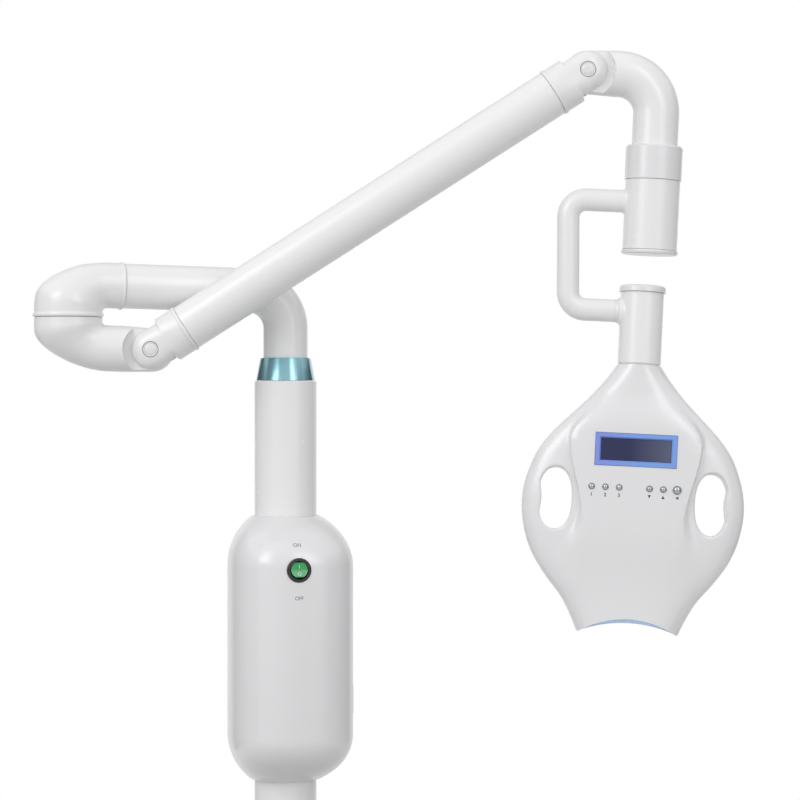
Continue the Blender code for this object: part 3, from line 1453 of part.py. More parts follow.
def head_room(name, inset, **placing):
    """The room inside the head, from under the neck's spigot to past the mouth."""
    steps = [i / (CAVITY_RINGS - 1) for i in range(CAVITY_RINGS)]
    shares = [mixed(CAVITY_FIRST_SHARE, CAVITY_LAST_SHARE, step) for step in steps]
    return lofted(name, [head_ring(share, inset) for share in shares], **placing)


def grip_outline(margin):
    """A tall rounded hole with a finger bump on its outer edge, around its own centre."""
    outline = []
    for i in range(GRIP_POINTS):
        angle = 2 * pi * i / GRIP_POINTS
        c, s = cos(angle), sin(angle)
        x = GRIP_HALF_WIDTH * abs(c) ** (2 / GRIP_POWER) * (1 if c > 0 else -1)
        z = GRIP_HALF_HEIGHT * abs(s) ** (2 / GRIP_POWER) * (1 if s > 0 else -1)
        if x > 0:
            x -= GRIP_BUMP * cos(pi / 2 * min(1, abs(z) / (GRIP_HALF_HEIGHT / 2)))
        length = hypot(x, z)
        outline.append((x * (1 + margin / length), z * (1 + margin / length)))
    return outline


def grip_tools(tilt, name, margin):
    reach = HEAD_REAR_DEPTH + HUMP_RISE + CUT_OVERRUN
    z = mixed(HEAD_TOP, HEAD_BOTTOM, GRIP_PLACE_SHARE)
    tools = []
    for side, sign in (("left", -1), ("right", 1)):
        outline = [(sign * x, dz) for x, dz in grip_outline(margin)]
        at = (sign * GRIP_CENTRE_SHARE * HEAD_HALF_WIDTH, 0, z)
        tools.append(extruded(f"{name}_{side}", outline, -reach, reach, parent=tilt, at=at))
    return tools


def button_places():
    """Name, x and radius of each button."""
    places = []
    for i in range(3):
        places.append((f"button_left_{3 - i}", -BUTTON_FIRST - BUTTON_PITCH * i, BUTTON_RADIUS))
    for i in range(2):
        places.append((f"button_right_{i + 1}", BUTTON_FIRST + BUTTON_PITCH * i, BUTTON_RADIUS))
    places.append(("button_start", BUTTON_FIRST + BUTTON_PITCH * 2, START_BUTTON_RADIUS))
    return places


def button_surface(x):
    return head_depth(head_place(BUTTON_DROP), x, 0, True)


def board_posts(tilt):
    """Screw bosses from the front shell's wall to the board."""
    posts = []
    bottom = BOARD_TOP + BOARD_HEIGHT
    for i, (x, drop) in enumerate(
        (sx * (BOARD_WIDTH / 2 - POST_INSET), drop)
        for sx in (-1, 1)
        for drop in (BOARD_TOP + POST_INSET, bottom - POST_INSET)
    ):
        surface = head_depth(head_place(drop), x, HEAD_WALL / 2, True)
        posts.append(
            rod(
                f"board_post_{i + 1}", POST_RADIUS, BOARD_FRONT + GAP, surface, SMALL_FACETS,
                parent=tilt, at=(x, 0, -drop), turn=(radians(90), 0, 0),
            )
        )
    return posts


def sink_posts(tilt):
    """Bosses from the rear shell's wall to the heat sink's back."""
    posts = []
    middle = LED_DROP - LED_THICKNESS - GAP - SINK_BASE / 2
    for side, x in (("left", -LED_WIDTH / 3), ("right", LED_WIDTH / 3)):
        surface = head_depth(head_place(middle), x, HEAD_WALL / 2, False)
        posts.append(
            rod(
                f"sink_post_{side}", SINK_BASE / 2, LED_DEPTH / 2 + GAP, surface, SMALL_FACETS,
                parent=tilt, at=(x, 0, -middle), turn=ALONG_Y,
            )
        )
    return posts


def head_cutters(tilt):
    """The shared tools that hollow and open both shells."""
    room = head_room("head_room", HEAD_WALL, parent=tilt)
    cut(room, *grip_tools(tilt, "grip_wall", HEAD_WALL))
    neck_way = rod(
        "neck_way", NECK_SPIGOT_RADIUS + GAP,
        -NECK_BOTTOM - NECK_SPIGOT_LENGTH - NECK_WALL - CUT_OVERRUN, 0, POLE_FACETS,
        parent=tilt,
    )
    deep = HEAD_MOUTH_DEPTH + HUMP_RISE + CUT_OVERRUN
    mouth = rod(
        "mouth_arc", MOUTH_RADIUS, -deep, deep, MOUTH_FACETS, parent=tilt, at=(0, 0, MOUTH_AXIS),
        turn=ALONG_Y,
    )
    return [room, neck_way, mouth, *grip_tools(tilt, "grip_hole", 0)]


def build_head(tilt):
    tools = head_cutters(tilt)
    far = PANEL_FRONT + HUMP_RISE + CUT_OVERRUN
    wide = HEAD_HALF_WIDTH + CUT_OVERRUN
    low, high = HEAD_BOTTOM - CUT_OVERRUN, HEAD_TOP + CUT_OVERRUN
    behind = block(
        "behind_parting", (-wide, -GAP / 2, low), (wide, far, high), parent=tilt
    )
    before = block(
        "before_parting", (-wide, -far, low), (wide, GAP / 2, high), parent=tilt
    )
    front = head_solid("head_front_shell", parent=tilt, material=WHITE)
    cut(front, *tools, behind)
    cut(front, *board_posts(tilt), operation="UNION")
    cut(front, *front_openings(tilt, far))
    rear = head_solid("head_rear_shell", parent=tilt, material=WHITE)
    cut(rear, *tools, before)
    cut(rear, *sink_posts(tilt), operation="UNION")
    cut(rear, *rear_vents(tilt, far))
    build_display(tilt)
    build_buttons(tilt)
    build_light(tilt)


def front_openings(tilt, far):
    half_x, half_z = DISPLAY_WIDTH / 2 + GAP, DISPLAY_HEIGHT / 2 + GAP
    back = -HEAD_FRONT_DEPTH + HEAD_WALL
    tools = [
        block(
            "display_way", (-half_x, -far, -DISPLAY_DROP - half_z),
            (half_x, back, -DISPLAY_DROP + half_z), parent=tilt,
        )
    ]
    for name, x, radius in button_places():
        tools.append(
            rod(
                name + "_way", radius + GAP, -back, far, SMALL_FACETS, parent=tilt,
                at=(x, 0, -BUTTON_DROP), turn=(radians(90), 0, 0),
            )
        )
    return tools


def rear_vents(tilt, far):
    tools = []
    for i in range(VENT_COUNT):
        z = -VENT_DROP + VENT_PITCH * (i - (VENT_COUNT - 1) / 2)
        tools.append(
            block(
                f"vent_{i + 1}", (-VENT_LENGTH / 2, HEAD_REAR_DEPTH, z - VENT_WIDTH / 2),
                (VENT_LENGTH / 2, far, z + VENT_WIDTH / 2), parent=tilt,
            )
        )
    return tools


def build_display(tilt):
    holder = frame("display_seat", tilt, (0, -PANEL_FRONT, -DISPLAY_DROP))
    half_x, half_z = DISPLAY_WIDTH / 2, DISPLAY_HEIGHT / 2
    rim = block(
        "lcd_frame", (-half_x, -DISPLAY_PROUD, -half_z), (half_x, FRAME_DEPTH, half_z),
        parent=holder, material=VIOLET,
    )
    open_x, open_z = half_x - FRAME_BORDER_X, half_z - FRAME_BORDER_Z
    window = block(
        "frame_window", (-open_x, -CUT_OVERRUN, -open_z),
        (open_x, FRAME_DEPTH + CUT_OVERRUN, open_z), parent=holder,
    )
    cut(rim, window)
    glass = block(
        "lcd_panel", (-open_x + GAP, GLASS_SINK, -open_z + GAP),
        (open_x - GAP, FRAME_DEPTH + PANEL_DEPTH, open_z - GAP), parent=holder, material=NAVY,
    )
    back_x, back_z = half_x + PANEL_MARGIN, half_z + PANEL_MARGIN
    module = block(
        "lcd_module_back", (-back_x, FRAME_DEPTH + GAP, -back_z),
        (back_x, FRAME_DEPTH + PANEL_DEPTH + GAP, back_z), parent=holder,
    )
    cut(glass, module, operation="UNION")
    block(
        "control_board", (-BOARD_WIDTH / 2, -BOARD_FRONT, -BOARD_TOP - BOARD_HEIGHT),
        (BOARD_WIDTH / 2, -BOARD_FRONT + BOARD_THICKNESS, -BOARD_TOP), parent=tilt,
        material=BOARD_GREEN,
    )


def build_buttons(tilt):
    """Domed buttons, each held behind the wall by its flange."""
    for name, x, radius in button_places():
        surface = button_surface(x)
        proud = BUTTON_PROUD * radius / BUTTON_RADIUS
        wall_back = HEAD_FRONT_DEPTH + PANEL_RISE - HEAD_WALL - HEAD_WALL / 2
        stem_end = BOARD_FRONT + BUTTON_TRAVEL + GAP
        angles = [pi / 2 * (1 - i / BUTTON_DOME_STEPS) for i in range(BUTTON_DOME_STEPS + 1)]
        profile = [(radius * cos(a), surface + proud * sin(a)) for a in angles]
        profile[0] = (0, surface + proud)
        profile += [
            (radius, wall_back),
            (radius + BUTTON_FLANGE_STEP, wall_back),
            (radius + BUTTON_FLANGE_STEP, wall_back - BUTTON_FLANGE_HEIGHT),
            (radius * BUTTON_STEM_SHARE, wall_back - BUTTON_FLANGE_HEIGHT),
            (radius * BUTTON_STEM_SHARE, stem_end),
            (0, stem_end),
        ]
        turned(
            name, profile, SMALL_FACETS, parent=tilt, at=(x, 0, -BUTTON_DROP),
            turn=(radians(90), 0, 0), material=CHROME,
        )


def build_light(tilt):
    """Lens, light board, heat sink and fan above the mouth."""
    outer = MOUTH_RADIUS + LENS_RECESS + LENS_THICKNESS
    deep = HEAD_MOUTH_DEPTH + HUMP_RISE
    lens = head_room("mouth_lens", HEAD_WALL + GAP, parent=tilt, material=CLEAR_BLUE)
    inner_arc = rod(
        "lens_inner_arc", MOUTH_RADIUS + LENS_RECESS, -deep, deep, MOUTH_FACETS, parent=tilt,
        at=(0, 0, MOUTH_AXIS), turn=ALONG_Y,
    )
    outer_arc = rod(
        "lens_outer_arc", outer, -deep, deep, MOUTH_FACETS, parent=tilt, at=(0, 0, MOUTH_AXIS),
        turn=ALONG_Y,
    )
    cut(lens, outer_arc, operation="INTERSECT")
    cut(lens, inner_arc)
    build_led_board(tilt)
    sink_low = -LED_DROP + LED_THICKNESS + GAP
    build_heat_sink(tilt, sink_low)
    build_fan(tilt, sink_low + SINK_HEIGHT + GAP)


def build_led_board(tilt):
    """A board whose underside carries a grid of light emitters, as one solid."""
    shape = bmesh.new()
    bmesh.ops.create_grid(shape, x_segments=LED_COLUMNS, y_segments=LED_ROWS, size=1)
    for vertex in shape.verts:
        vertex.co.x *= LED_WIDTH / 2
        vertex.co.y *= LED_DEPTH / 2
    cells = list(shape.faces)
    body = bmesh.ops.extrude_face_region(shape, geom=cells)
    for item in body["geom"]:
        if isinstance(item, bmesh.types.BMVert):
            item.co.z += LED_THICKNESS
    bmesh.ops.inset_individual(shape, faces=cells, thickness=LED_INSET, use_even_offset=True)
    bmesh.ops.recalc_face_normals(shape, faces=shape.faces)
    for face in cells:
        for vertex in face.verts:
            vertex.co.z -= LED_RISE
    place(
        "led_module", mesh_of("led_module", shape), tilt, at=(0, 0, -LED_DROP),
        material=LED_WHITE,
    )


def build_heat_sink(tilt, low):
    """A comb of fins on a base, drawn out along Y."""
    pitch = LED_WIDTH / FIN_COUNT
    fin = pitch * FIN_SHARE
    left = -LED_WIDTH / 2
    gap = (LED_WIDTH - FIN_COUNT * fin) / (FIN_COUNT - 1)
    outline = [(left, low)]
    for i in range(FIN_COUNT):
        x = left + i * (fin + gap)
        outline += [(x, low + SINK_HEIGHT), (x + fin, low + SINK_HEIGHT)]
        if i < FIN_COUNT - 1:
            outline += [(x + fin, low + SINK_BASE), (x + fin + gap, low + SINK_BASE)]
    outline.append((-left, low))
    extruded("heat_sink", outline, -LED_DEPTH / 2, LED_DEPTH / 2, parent=tilt, material=ALUMINIUM)


def build_fan(tilt, low):
    fan_axis = frame("fan_axis", tilt, (0, 0, low))
    half = FAN_SIZE / 2
    box = block(
        "fan_frame", (-half, -half, 0), (half, half, FAN_HEIGHT), parent=fan_axis, material=BLACK
    )
    bore = rod("fan_bore", FAN_BORE, FAN_BACK, FAN_HEIGHT + CUT_OVERRUN, TUBE_FACETS, parent=fan_axis)
    holes = []
    for i in range(FAN_BACK_HOLE_COUNT):
        angle = 2 * pi * i / FAN_BACK_HOLE_COUNT
        reach = FAN_BORE * FAN_BACK_RING_SHARE
        holes.append(
            rod(
                f"fan_hole_{i + 1}", FAN_BACK_HOLE, -CUT_OVERRUN, FAN_HEIGHT, SMALL_FACETS // 2,
                parent=fan_axis, at=(reach * cos(angle), reach * sin(angle), 0),
            )
        )
    cut(box, bore, *holes)
    blade = 2 * pi / ROTOR_BLADES
    rings = []
    for height, twist in ((0, 0), (ROTOR_HEIGHT, ROTOR_TWIST)):
        ring = []
        for i in range(ROTOR_BLADES):
            base = blade * i + twist
            for share, radius in (
                (0, ROTOR_RADIUS), (BLADE_SHARE / 2, ROTOR_RADIUS),
                (BLADE_SHARE, ROTOR_HUB), (1, ROTOR_HUB),
            ):
                angle = base + blade * share
                ring.append((radius * cos(angle), radius * sin(angle), FAN_BACK + GAP + height))
        rings.append(ring)
    lofted("fan_rotor", rings, parent=fan_axis, material=BLACK)


# Smooth shading on every finished piece
def finish():
    bpy.context.view_layer.update()
    graph = bpy.context.evaluated_depsgraph_get()
    made = []
    for piece in lamp.objects:
        if piece.type == "MESH":
            made.append((piece, bpy.data.meshes.new_from_object(piece.evaluated_get(graph))))
    for piece, mesh in made:
        piece.modifiers.clear()
        piece.data = mesh
        mesh.name = piece.name
        mesh.shade_smooth()
        mesh.set_sharp_from_angle(angle=SHARP_ANGLE)


def main():
    build_base()
    build_casters()
    build_pole()
    build_box()
    swing = build_swing_arm()
    elbow_axis = build_lower_elbow(swing)
    upper = build_main_arm(elbow_axis)
    swivel = build_gooseneck(upper)
    build_drop_tube(swivel)
    tilt = build_handle(swivel)
    build_neck(tilt)
    build_head(tilt)
    finish()


main()
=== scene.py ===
"""Teeth whitening lamp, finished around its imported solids.

Metres, +Z up, front towards -Y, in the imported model's own frame. Nearly every node that shows is
replaced by a finer piece made from the same sizes. The inner ones keep their solids and take a
better material.
"""

import json
from math import atan2, cos, hypot, pi, radians, sin, sqrt, tan

import bmesh
import bpy
from mathutils import Euler, Matrix, Vector
from mathutils.bvhtree import BVHTree

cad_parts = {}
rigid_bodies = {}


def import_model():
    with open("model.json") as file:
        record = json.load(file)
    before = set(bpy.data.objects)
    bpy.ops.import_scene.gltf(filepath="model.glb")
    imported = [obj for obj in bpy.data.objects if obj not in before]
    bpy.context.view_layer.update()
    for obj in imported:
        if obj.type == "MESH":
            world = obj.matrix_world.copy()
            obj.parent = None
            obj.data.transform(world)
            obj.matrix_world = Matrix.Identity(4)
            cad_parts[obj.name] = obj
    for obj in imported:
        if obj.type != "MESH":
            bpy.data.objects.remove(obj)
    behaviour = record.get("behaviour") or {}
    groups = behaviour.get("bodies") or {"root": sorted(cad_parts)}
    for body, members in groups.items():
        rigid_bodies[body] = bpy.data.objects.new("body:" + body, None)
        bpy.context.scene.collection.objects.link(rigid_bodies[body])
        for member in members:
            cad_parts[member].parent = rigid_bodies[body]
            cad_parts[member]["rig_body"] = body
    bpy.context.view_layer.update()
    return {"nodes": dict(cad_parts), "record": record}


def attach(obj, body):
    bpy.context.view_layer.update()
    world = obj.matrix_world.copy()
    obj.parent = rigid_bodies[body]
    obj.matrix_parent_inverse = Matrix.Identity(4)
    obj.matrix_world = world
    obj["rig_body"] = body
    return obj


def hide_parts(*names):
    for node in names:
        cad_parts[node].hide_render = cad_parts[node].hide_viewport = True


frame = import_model()

# Clearances shared by every fit
GAP = 0.0003
CUT_OVERRUN = 0.004
MERGE_DISTANCE = 0.00001
SHARP_ANGLE = radians(35)

# Facets around round pieces
POLE_FACETS = 96
TUBE_FACETS = 72
SMALL_FACETS = 32
HANDLE_FACETS = 48
WHEEL_FACETS = 64
SOLID_WHEEL_FACETS = 12
MOUTH_FACETS = 320
BEND_STEPS = 20
DOME_STEPS = 12
DOME_SWEEP = radians(80)
MIDDLE_SHARE = 0.5

# Star base and casters
LEG_COUNT = 5
LEG_REACH = 0.270
LEG_ROOT_WIDTH = 0.046
LEG_TIP_WIDTH = 0.032
LEG_ROOT_HEIGHT = 0.046
LEG_TIP_HEIGHT = 0.024
LEG_ROOT_RISE = 0.010
LEG_TAPER_POWER = 0.8
LEG_EDGE_RADIUS = 0.006
LEG_FOOT_RADIUS = 0.002
LEG_EDGE_STEPS = 5
LEG_STATIONS = 12
LEG_START_SHARE = 0.5
LEG_TIP_RISE = 0.001
LEG_BOSS_RADIUS = 0.0168
LEG_BOSS_HEIGHT = 0.0265
HUB_RADIUS = 0.046
HUB_HEIGHT = 0.062
HUB_FLOOR = 0.008
HUB_EDGE = 0.004
WHEEL_RADIUS = 0.025
WHEEL_WIDTH = 0.015
WHEEL_EDGE = 0.004
WHEEL_HUB_RADIUS = 0.0075
WHEEL_DISH_RADIUS = 0.0185
WHEEL_DISH_DEPTH = 0.0016
AXLE_RADIUS = 0.004
FORK_THICKNESS = 0.010
FORK_HOOD_WIDTH = 0.042
FORK_HOOD_WALL = 0.0025
HOOD_FIRST = radians(0)
HOOD_LAST = radians(165)
HOOD_STEPS = 24
CASTER_TRAIL = 0.018
STEM_RADIUS = 0.0055
STEM_FLANGE_RADIUS = 0.011
STEM_FLANGE_HEIGHT = 0.004
STEM_LENGTH = 0.018
COLLAR_WALL = 0.008
COLLAR_HEIGHT = 0.018
COLLAR_EDGE = 0.004

# Pole and its top
POLE_RADIUS = 0.028
POLE_WALL = 0.003
POLE_TOP = 1.0684
POLE_EDGE = 0.001
TOP_RING_HEIGHT = 0.0203
TOP_RING_BOTTOM_RADIUS = 0.02695
TOP_RING_TOP_RADIUS = 0.0232
TOP_RING_EDGE = 0.0008
BUSH_LENGTH = 0.064
BUSH_LEDGE_HEIGHT = 0.005
BUSH_LEDGE_WIDTH = 0.0035

# Control box on the pole
BOX_TURN = radians(16)
BOX_BOTTOM = 0.7090
BOX_TOP = 0.9465
BOX_END_HEIGHT = 0.0435
BOX_HALF_WIDTH = 0.0544
BOX_FRONT = 0.0755
BOX_REAR = 0.041
BOX_NECK_WALL = 0.0025
BOX_WALL = 0.0025
BOX_CORNER_POWER = 2.6
BOX_RING_POINTS = 112
BOX_END_RINGS = 18
CLAMP_HEIGHT = 0.030
CLAMP_WALL = 0.005
CLAMP_EAR_WIDTH = 0.024
CLAMP_CENTRE_SHARE = 0.5
SUPPLY_WIDTH = 0.056
SUPPLY_HEIGHT = 0.090
SUPPLY_DEPTH = 0.018
SUPPLY_ROOM = 0.006
SUPPLY_CENTRE_SHARE = 0.38
SUPPLY_EDGE = 0.002

# Rocker switch in the box's front
SWITCH_HEIGHT = 0.9016
SWITCH_OFFSET = -0.0058
BEZEL_RADIUS = 0.01075
BEZEL_FLANGE = 0.0020
BEZEL_PROUD = 0.0009
BARREL_RADIUS = 0.0096
BARREL_LENGTH = 0.0150
ROCKER_WELL_RADIUS = 0.0082
ROCKER_RADIUS = 0.0074
ROCKER_PIVOT_DEPTH = 0.0036
ROCKER_SLOPE = radians(9)
ROCKER_PROUD = 0.0012
ROCKER_BACK = 0.0030
ROCKER_ARC_STEPS = 16

# Mains inlet in the box's side
INLET_HEIGHT = 0.782
INLET_SETBACK = 0.019
INLET_FLANGE_WIDTH = 0.030
INLET_FLANGE_HEIGHT = 0.025
INLET_FLANGE_DEPTH = 0.0025
INLET_BODY_WIDTH = 0.0270
INLET_BODY_HEIGHT = 0.0200
INLET_BODY_DEPTH = 0.0200
INLET_SOCKET_WIDTH = 0.0240
INLET_SOCKET_HEIGHT = 0.0165
INLET_SOCKET_DEPTH = 0.0170
INLET_CORNER = 0.003
INLET_PIN_WIDTH = 0.0040
INLET_PIN_THICKNESS = 0.0020
INLET_PIN_LENGTH = 0.0110
INLET_PIN_SPACING = 0.0070
INLET_PIN_RISE = 0.0020

# Arm tubes
TUBE_RADIUS = 0.0203
TUBE_WALL = 0.0028
TUBE_BEND = 0.0342
SWING_TURN = radians(197)
SWING_LENGTH = 0.198
SWING_HEIGHT = 1.1533
SWING_RISE = radians(1.2)
MAIN_TUBE_RADIUS = 0.0210
MAIN_TUBE_WALL = 0.0025
PASSING_ROOM = 0.0003

# Folding elbow under the swing arm's end
SEAM_DROP = 0.0290
FLANGE_RADIUS = 0.0313
FLANGE_HEIGHT = 0.0036
ELBOW_BODY_RADIUS = 0.0300
ELBOW_SEAM_EDGE = 0.0006
ELBOW_CORNER_REACH = 0.0340
UPPER_ELBOW_RISE = 0.0040
LOWER_ELBOW_RISE = 0.0030
ELBOW_INNER_RADIUS = 0.0040
ELBOW_STEPS = 36
ELBOW_FACE_REACH = 0.0485
ELBOW_LIP_WIDTH = 0.0028
ELBOW_LIP_RISE = 0.0009
BEAD_STEPS = 8
BEAD_POWER = 0.7
TUBE_END_CHAMFER = 0.0005
# Round the elbow from its flange to its arm: the place, and the outer side's reach from the corner
UPPER_ELBOW_REACHES = (
    (0.000, 0.0640),
    (0.110, 0.0646),
    (0.167, 0.0648),
    (0.222, 0.0638),
    (0.278, 0.0619),
    (0.333, 0.0595),
    (0.444, 0.0548),
    (0.556, 0.0511),
    (0.667, 0.0484),
    (0.833, 0.0453),
    (1.000, 0.0446),
)
LOWER_ELBOW_REACHES = (
    (0.000, 0.0640),
    (0.110, 0.0645),
    (0.167, 0.0634),
    (0.222, 0.0613),
    (0.278, 0.0588),
    (0.333, 0.0564),
    (0.444, 0.0521),
    (0.556, 0.0490),
    (0.667, 0.0466),
    (0.833, 0.0449),
    (1.000, 0.0446),
)
SPIGOT_LENGTH = 0.018
SPINDLE_RADIUS = 0.0140
SPINDLE_LENGTH = 0.040
SPINDLE_BORE = 0.0100
ELBOW_CABLE_RADIUS = 0.0090
LOWER_ARM_DROP = radians(2.3)

# Hinges at both ends of the main arm
HINGE_REACH = 0.07415
HINGE_DROP = 0.0288
MAIN_LENGTH = 0.4557
MAIN_RISE = radians(32.63)
TONGUE_THICKNESS = 0.0160
TONGUE_RADIUS = 0.0192
SHOULDER_RADIUS = 0.0245
SLOT_RADIUS = 0.0230
EAR_RADIUS = 0.0179
SLEEVE_START = 0.0357
SLEEVE_END = 0.0163
SLEEVE_LIP_WIDTH = 0.0032
SLEEVE_LIP_RISE = 0.0009
EAR_STEPS = 8
EAR_POWER = 2.9
KNUCKLE_SPIGOT = 0.026
BOLT_RADIUS = 0.0040
BOLT_HEAD_RADIUS = 0.0068
CAP_RADIUS = 0.0068
CAP_THICKNESS = 0.0026
CAP_SINK = 0.0004
CAP_DOME = 0.0009
CAP_CROWN_SHARE = 0.8

# Gooseneck, swivel and drop tube
HANG_LEAN = radians(2.8)
GOOSE_DROP = 0.0010
GOOSE_REACH = 0.0630
GOOSE_BEND = 0.0340
SWIVEL_DROP = 0.0933
COLLAR_RADIUS = 0.02505
SWIVEL_COLLAR_HEIGHT = 0.0300
SWIVEL_COLLAR_SHOULDER = 0.0030
DROP_RADIUS = 0.0241
DROP_WALL = 0.0028
DROP_LENGTH = 0.0659
DROP_TOP_THICKNESS = 0.0040
DROP_RIM_HEIGHT = 0.0042
DROP_RIM_RISE = 0.0009
DROP_RIM_EDGE = 0.0018
DROP_CAP_PLUG = 0.0050
SWIVEL_SHAFT_RADIUS = 0.0100
SWIVEL_FLANGE_RADIUS = 0.0160
SWIVEL_FLANGE_HEIGHT = 0.0040
SWIVEL_BORE_RADIUS = 0.0050

# Handle between the drop tube and the neck
HANDLE_RADIUS = 0.00995
HANDLE_WALL = 0.0020
HANDLE_BEND = 0.0155
HANDLE_TOP_DROP = 0.1130
HANDLE_TOP_REACH = 0.0736
HANDLE_LOW_REACH = 0.0693
HANDLE_HEIGHT = 0.0970
HANDLE_ENTRY = 0.0035
HANDLE_FILLET = 0.0024
FILLET_STEPS = 10

# Neck and its tilt pivot
NECK_OFFSET = 0.0043
HEAD_PITCH = radians(3)
HEAD_TURN = radians(-3)
NECK_RADIUS = 0.0190
NECK_WALL = 0.0028
NECK_TOP = 0.0168
NECK_BOTTOM = 0.0471
NECK_SEAM_EDGE = 0.0012
NECK_SPIGOT_LENGTH = 0.0130
NECK_SPIGOT_RADIUS = 0.0166
NECK_CAP_HEIGHT = 0.0058
NECK_CAP_RISE = 0.0016
NECK_CAP_DOME = 0.0003
NECK_CAP_EDGE = 0.0024
NECK_CAP_PLUG = 0.0060
BOSS_RADIUS = 0.0100
BOSS_REACH = 0.0203
BOSS_FILLET_RISE = 0.0040
BOSS_SIDE_RISE = 0.0022
BOSS_SIDE_DEPTH = 0.0120
TILT_COLLAR_WIDTH = 0.0036
TILT_COLLAR_SLIT = 0.00006
TILT_PIN_RADIUS = 0.0070
TILT_PIN_HEAD_RADIUS = 0.0105
TILT_PIN_HEAD_WIDTH = 0.0040
TILT_PIN_GRIP = 0.0240

# Lamp head
HEAD_LENGTH = 0.2354
HEAD_HALF_WIDTH = 0.09755
HEAD_FRONT_DEPTH = 0.0210
HEAD_REAR_DEPTH = 0.0200
HEAD_MOUTH_DEPTH = 0.0230
HEAD_EDGE_POWER = 3.0
ROUND_NECK_SHARE = 0.25
PANEL_RISE = 0.0050
HUMP_RISE = 0.0120
CREASE_WIDTH = 0.0020
CREASE_SOFT_WIDTH = 0.0400
CREASE_POINTS = 8
HEAD_WALL = 0.0025
HEAD_RINGS = 110
CAVITY_RINGS = 40
WING_POINTS = 22
PANEL_POINTS = 8
WING_START_SHARE = 0.94
MOUTH_RISE = 0.0125
MOUTH_HALF_WIDTH = 0.0425
HEAD_NECK_RADIUS = 0.0192
# Along the head from the neck to the mouth: the place, and the half width or crease there
HEAD_OUTLINE_SHARES = (
    (0.000, 0.197),
    (0.058, 0.295),
    (0.125, 0.430),
    (0.194, 0.594),
    (0.262, 0.753),
    (0.330, 0.872),
    (0.398, 0.942),
    (0.466, 0.987),
    (0.534, 1.000),
    (0.602, 0.982),
    (0.670, 0.938),
    (0.738, 0.861),
    (0.806, 0.746),
    (0.874, 0.612),
    (0.942, 0.518),
    (1.000, 0.455),
)
CREASE_SHARES = (
    (0.00, 0.120),
    (0.12, 0.300),
    (0.25, 0.570),
    (0.33, 0.585),
    (0.41, 0.545),
    (0.49, 0.495),
    (0.57, 0.475),
    (0.68, 0.520),
    (0.80, 0.480),
    (1.00, 0.300),
)
CREASE_SOFT_SHARES = ((0.00, 0.6), (0.18, 0.15), (0.30, 0.0), (0.50, 0.0), (0.84, 1.0), (1.00, 1.0))
PANEL_SHARES = ((0.00, 0.0), (0.10, 0.0), (0.235, 1.0), (0.58, 1.0), (0.94, 0.0), (1.00, 0.0))
HUMP_SHARES = ((0.00, 0.0), (0.12, 0.0), (0.36, 1.0), (0.74, 1.0), (0.95, 0.1), (1.00, 0.1))
FULL_DEPTH_SHARES = (0.20, 0.75)

# Grip holes
GRIP_CENTRE_SHARE = 0.700
GRIP_PLACE_SHARE = 0.510
GRIP_HALF_WIDTH = 0.0148
GRIP_HALF_HEIGHT = 0.0270
GRIP_BUMP = 0.0028
GRIP_POWER = 2.3
GRIP_POINTS = 96
GRIP_EDGE_STEPS = 7
GRIP_FLARE = 0.0010

# Display, buttons and board
DISPLAY_DROP = 0.1231
DISPLAY_WIDTH = 0.0708
DISPLAY_HEIGHT = 0.0284
DISPLAY_PROUD = 0.0004
FRAME_BORDER_X = 0.0047
FRAME_BORDER_Z = 0.0045
FRAME_DEPTH = 0.0052
GLASS_SINK = 0.0010
PANEL_DEPTH = 0.0060
PANEL_MARGIN = 0.0020
BUTTON_DROP = 0.1562
BUTTON_FIRST = 0.01315
BUTTON_PITCH = 0.0120
BUTTON_RADIUS = 0.0026
START_BUTTON_RADIUS = 0.0036
BUTTON_PROUD = 0.0020
BUTTON_FLANGE_STEP = 0.0011
BUTTON_FLANGE_HEIGHT = 0.0010
BUTTON_STEM_SHARE = 0.55
BUTTON_TRAVEL = 0.0008
BUTTON_DOME_STEPS = 8
BOARD_WIDTH = 0.0920
BOARD_TOP = 0.0990
BOARD_HEIGHT = 0.0720
BOARD_THICKNESS = 0.0016
POST_RADIUS = 0.0030
POST_INSET = 0.0045

# Light engine at the mouth
LENS_RECESS = 0.0060
LENS_BULGE = 0.0034
LENS_HALF_WIDTH = 0.0400
LENS_THICKNESS = 0.0025
LED_DROP = 0.2480
LED_WIDTH = 0.0660
LED_DEPTH = 0.0300
LED_THICKNESS = 0.0030
LED_COLUMNS = 5
LED_ROWS = 2
LED_INSET = 0.0028
LED_RISE = 0.0022
SINK_BASE = 0.0040
SINK_HEIGHT = 0.0220
FIN_COUNT = 9
FIN_SHARE = 0.42
FAN_SIZE = 0.0400
FAN_HEIGHT = 0.0100
FAN_BORE = 0.0186
FAN_BACK = 0.0015
FAN_BACK_HOLE = 0.0050
FAN_BACK_HOLE_COUNT = 4
FAN_BACK_RING_SHARE = 0.66
ROTOR_RADIUS = 0.0176
ROTOR_HUB = 0.0085
ROTOR_HEIGHT = 0.0070
ROTOR_BLADES = 7
BLADE_SHARE = 0.40
ROTOR_TWIST = radians(24)

# Vents in the rear shell
VENT_COUNT = 6
VENT_PITCH = 0.0080
VENT_LENGTH = 0.0480
VENT_WIDTH = 0.0030
VENT_DROP = 0.1900



def bore_for(radius, facets):
    """The radius of a faceted bore whose flats clear a round piece."""
    return (radius + GAP) / cos(pi / facets)


def head_place(drop):
    """The share along the head of a place that far below the tilt axis."""
    return (drop - NECK_BOTTOM - GAP) / HEAD_LENGTH



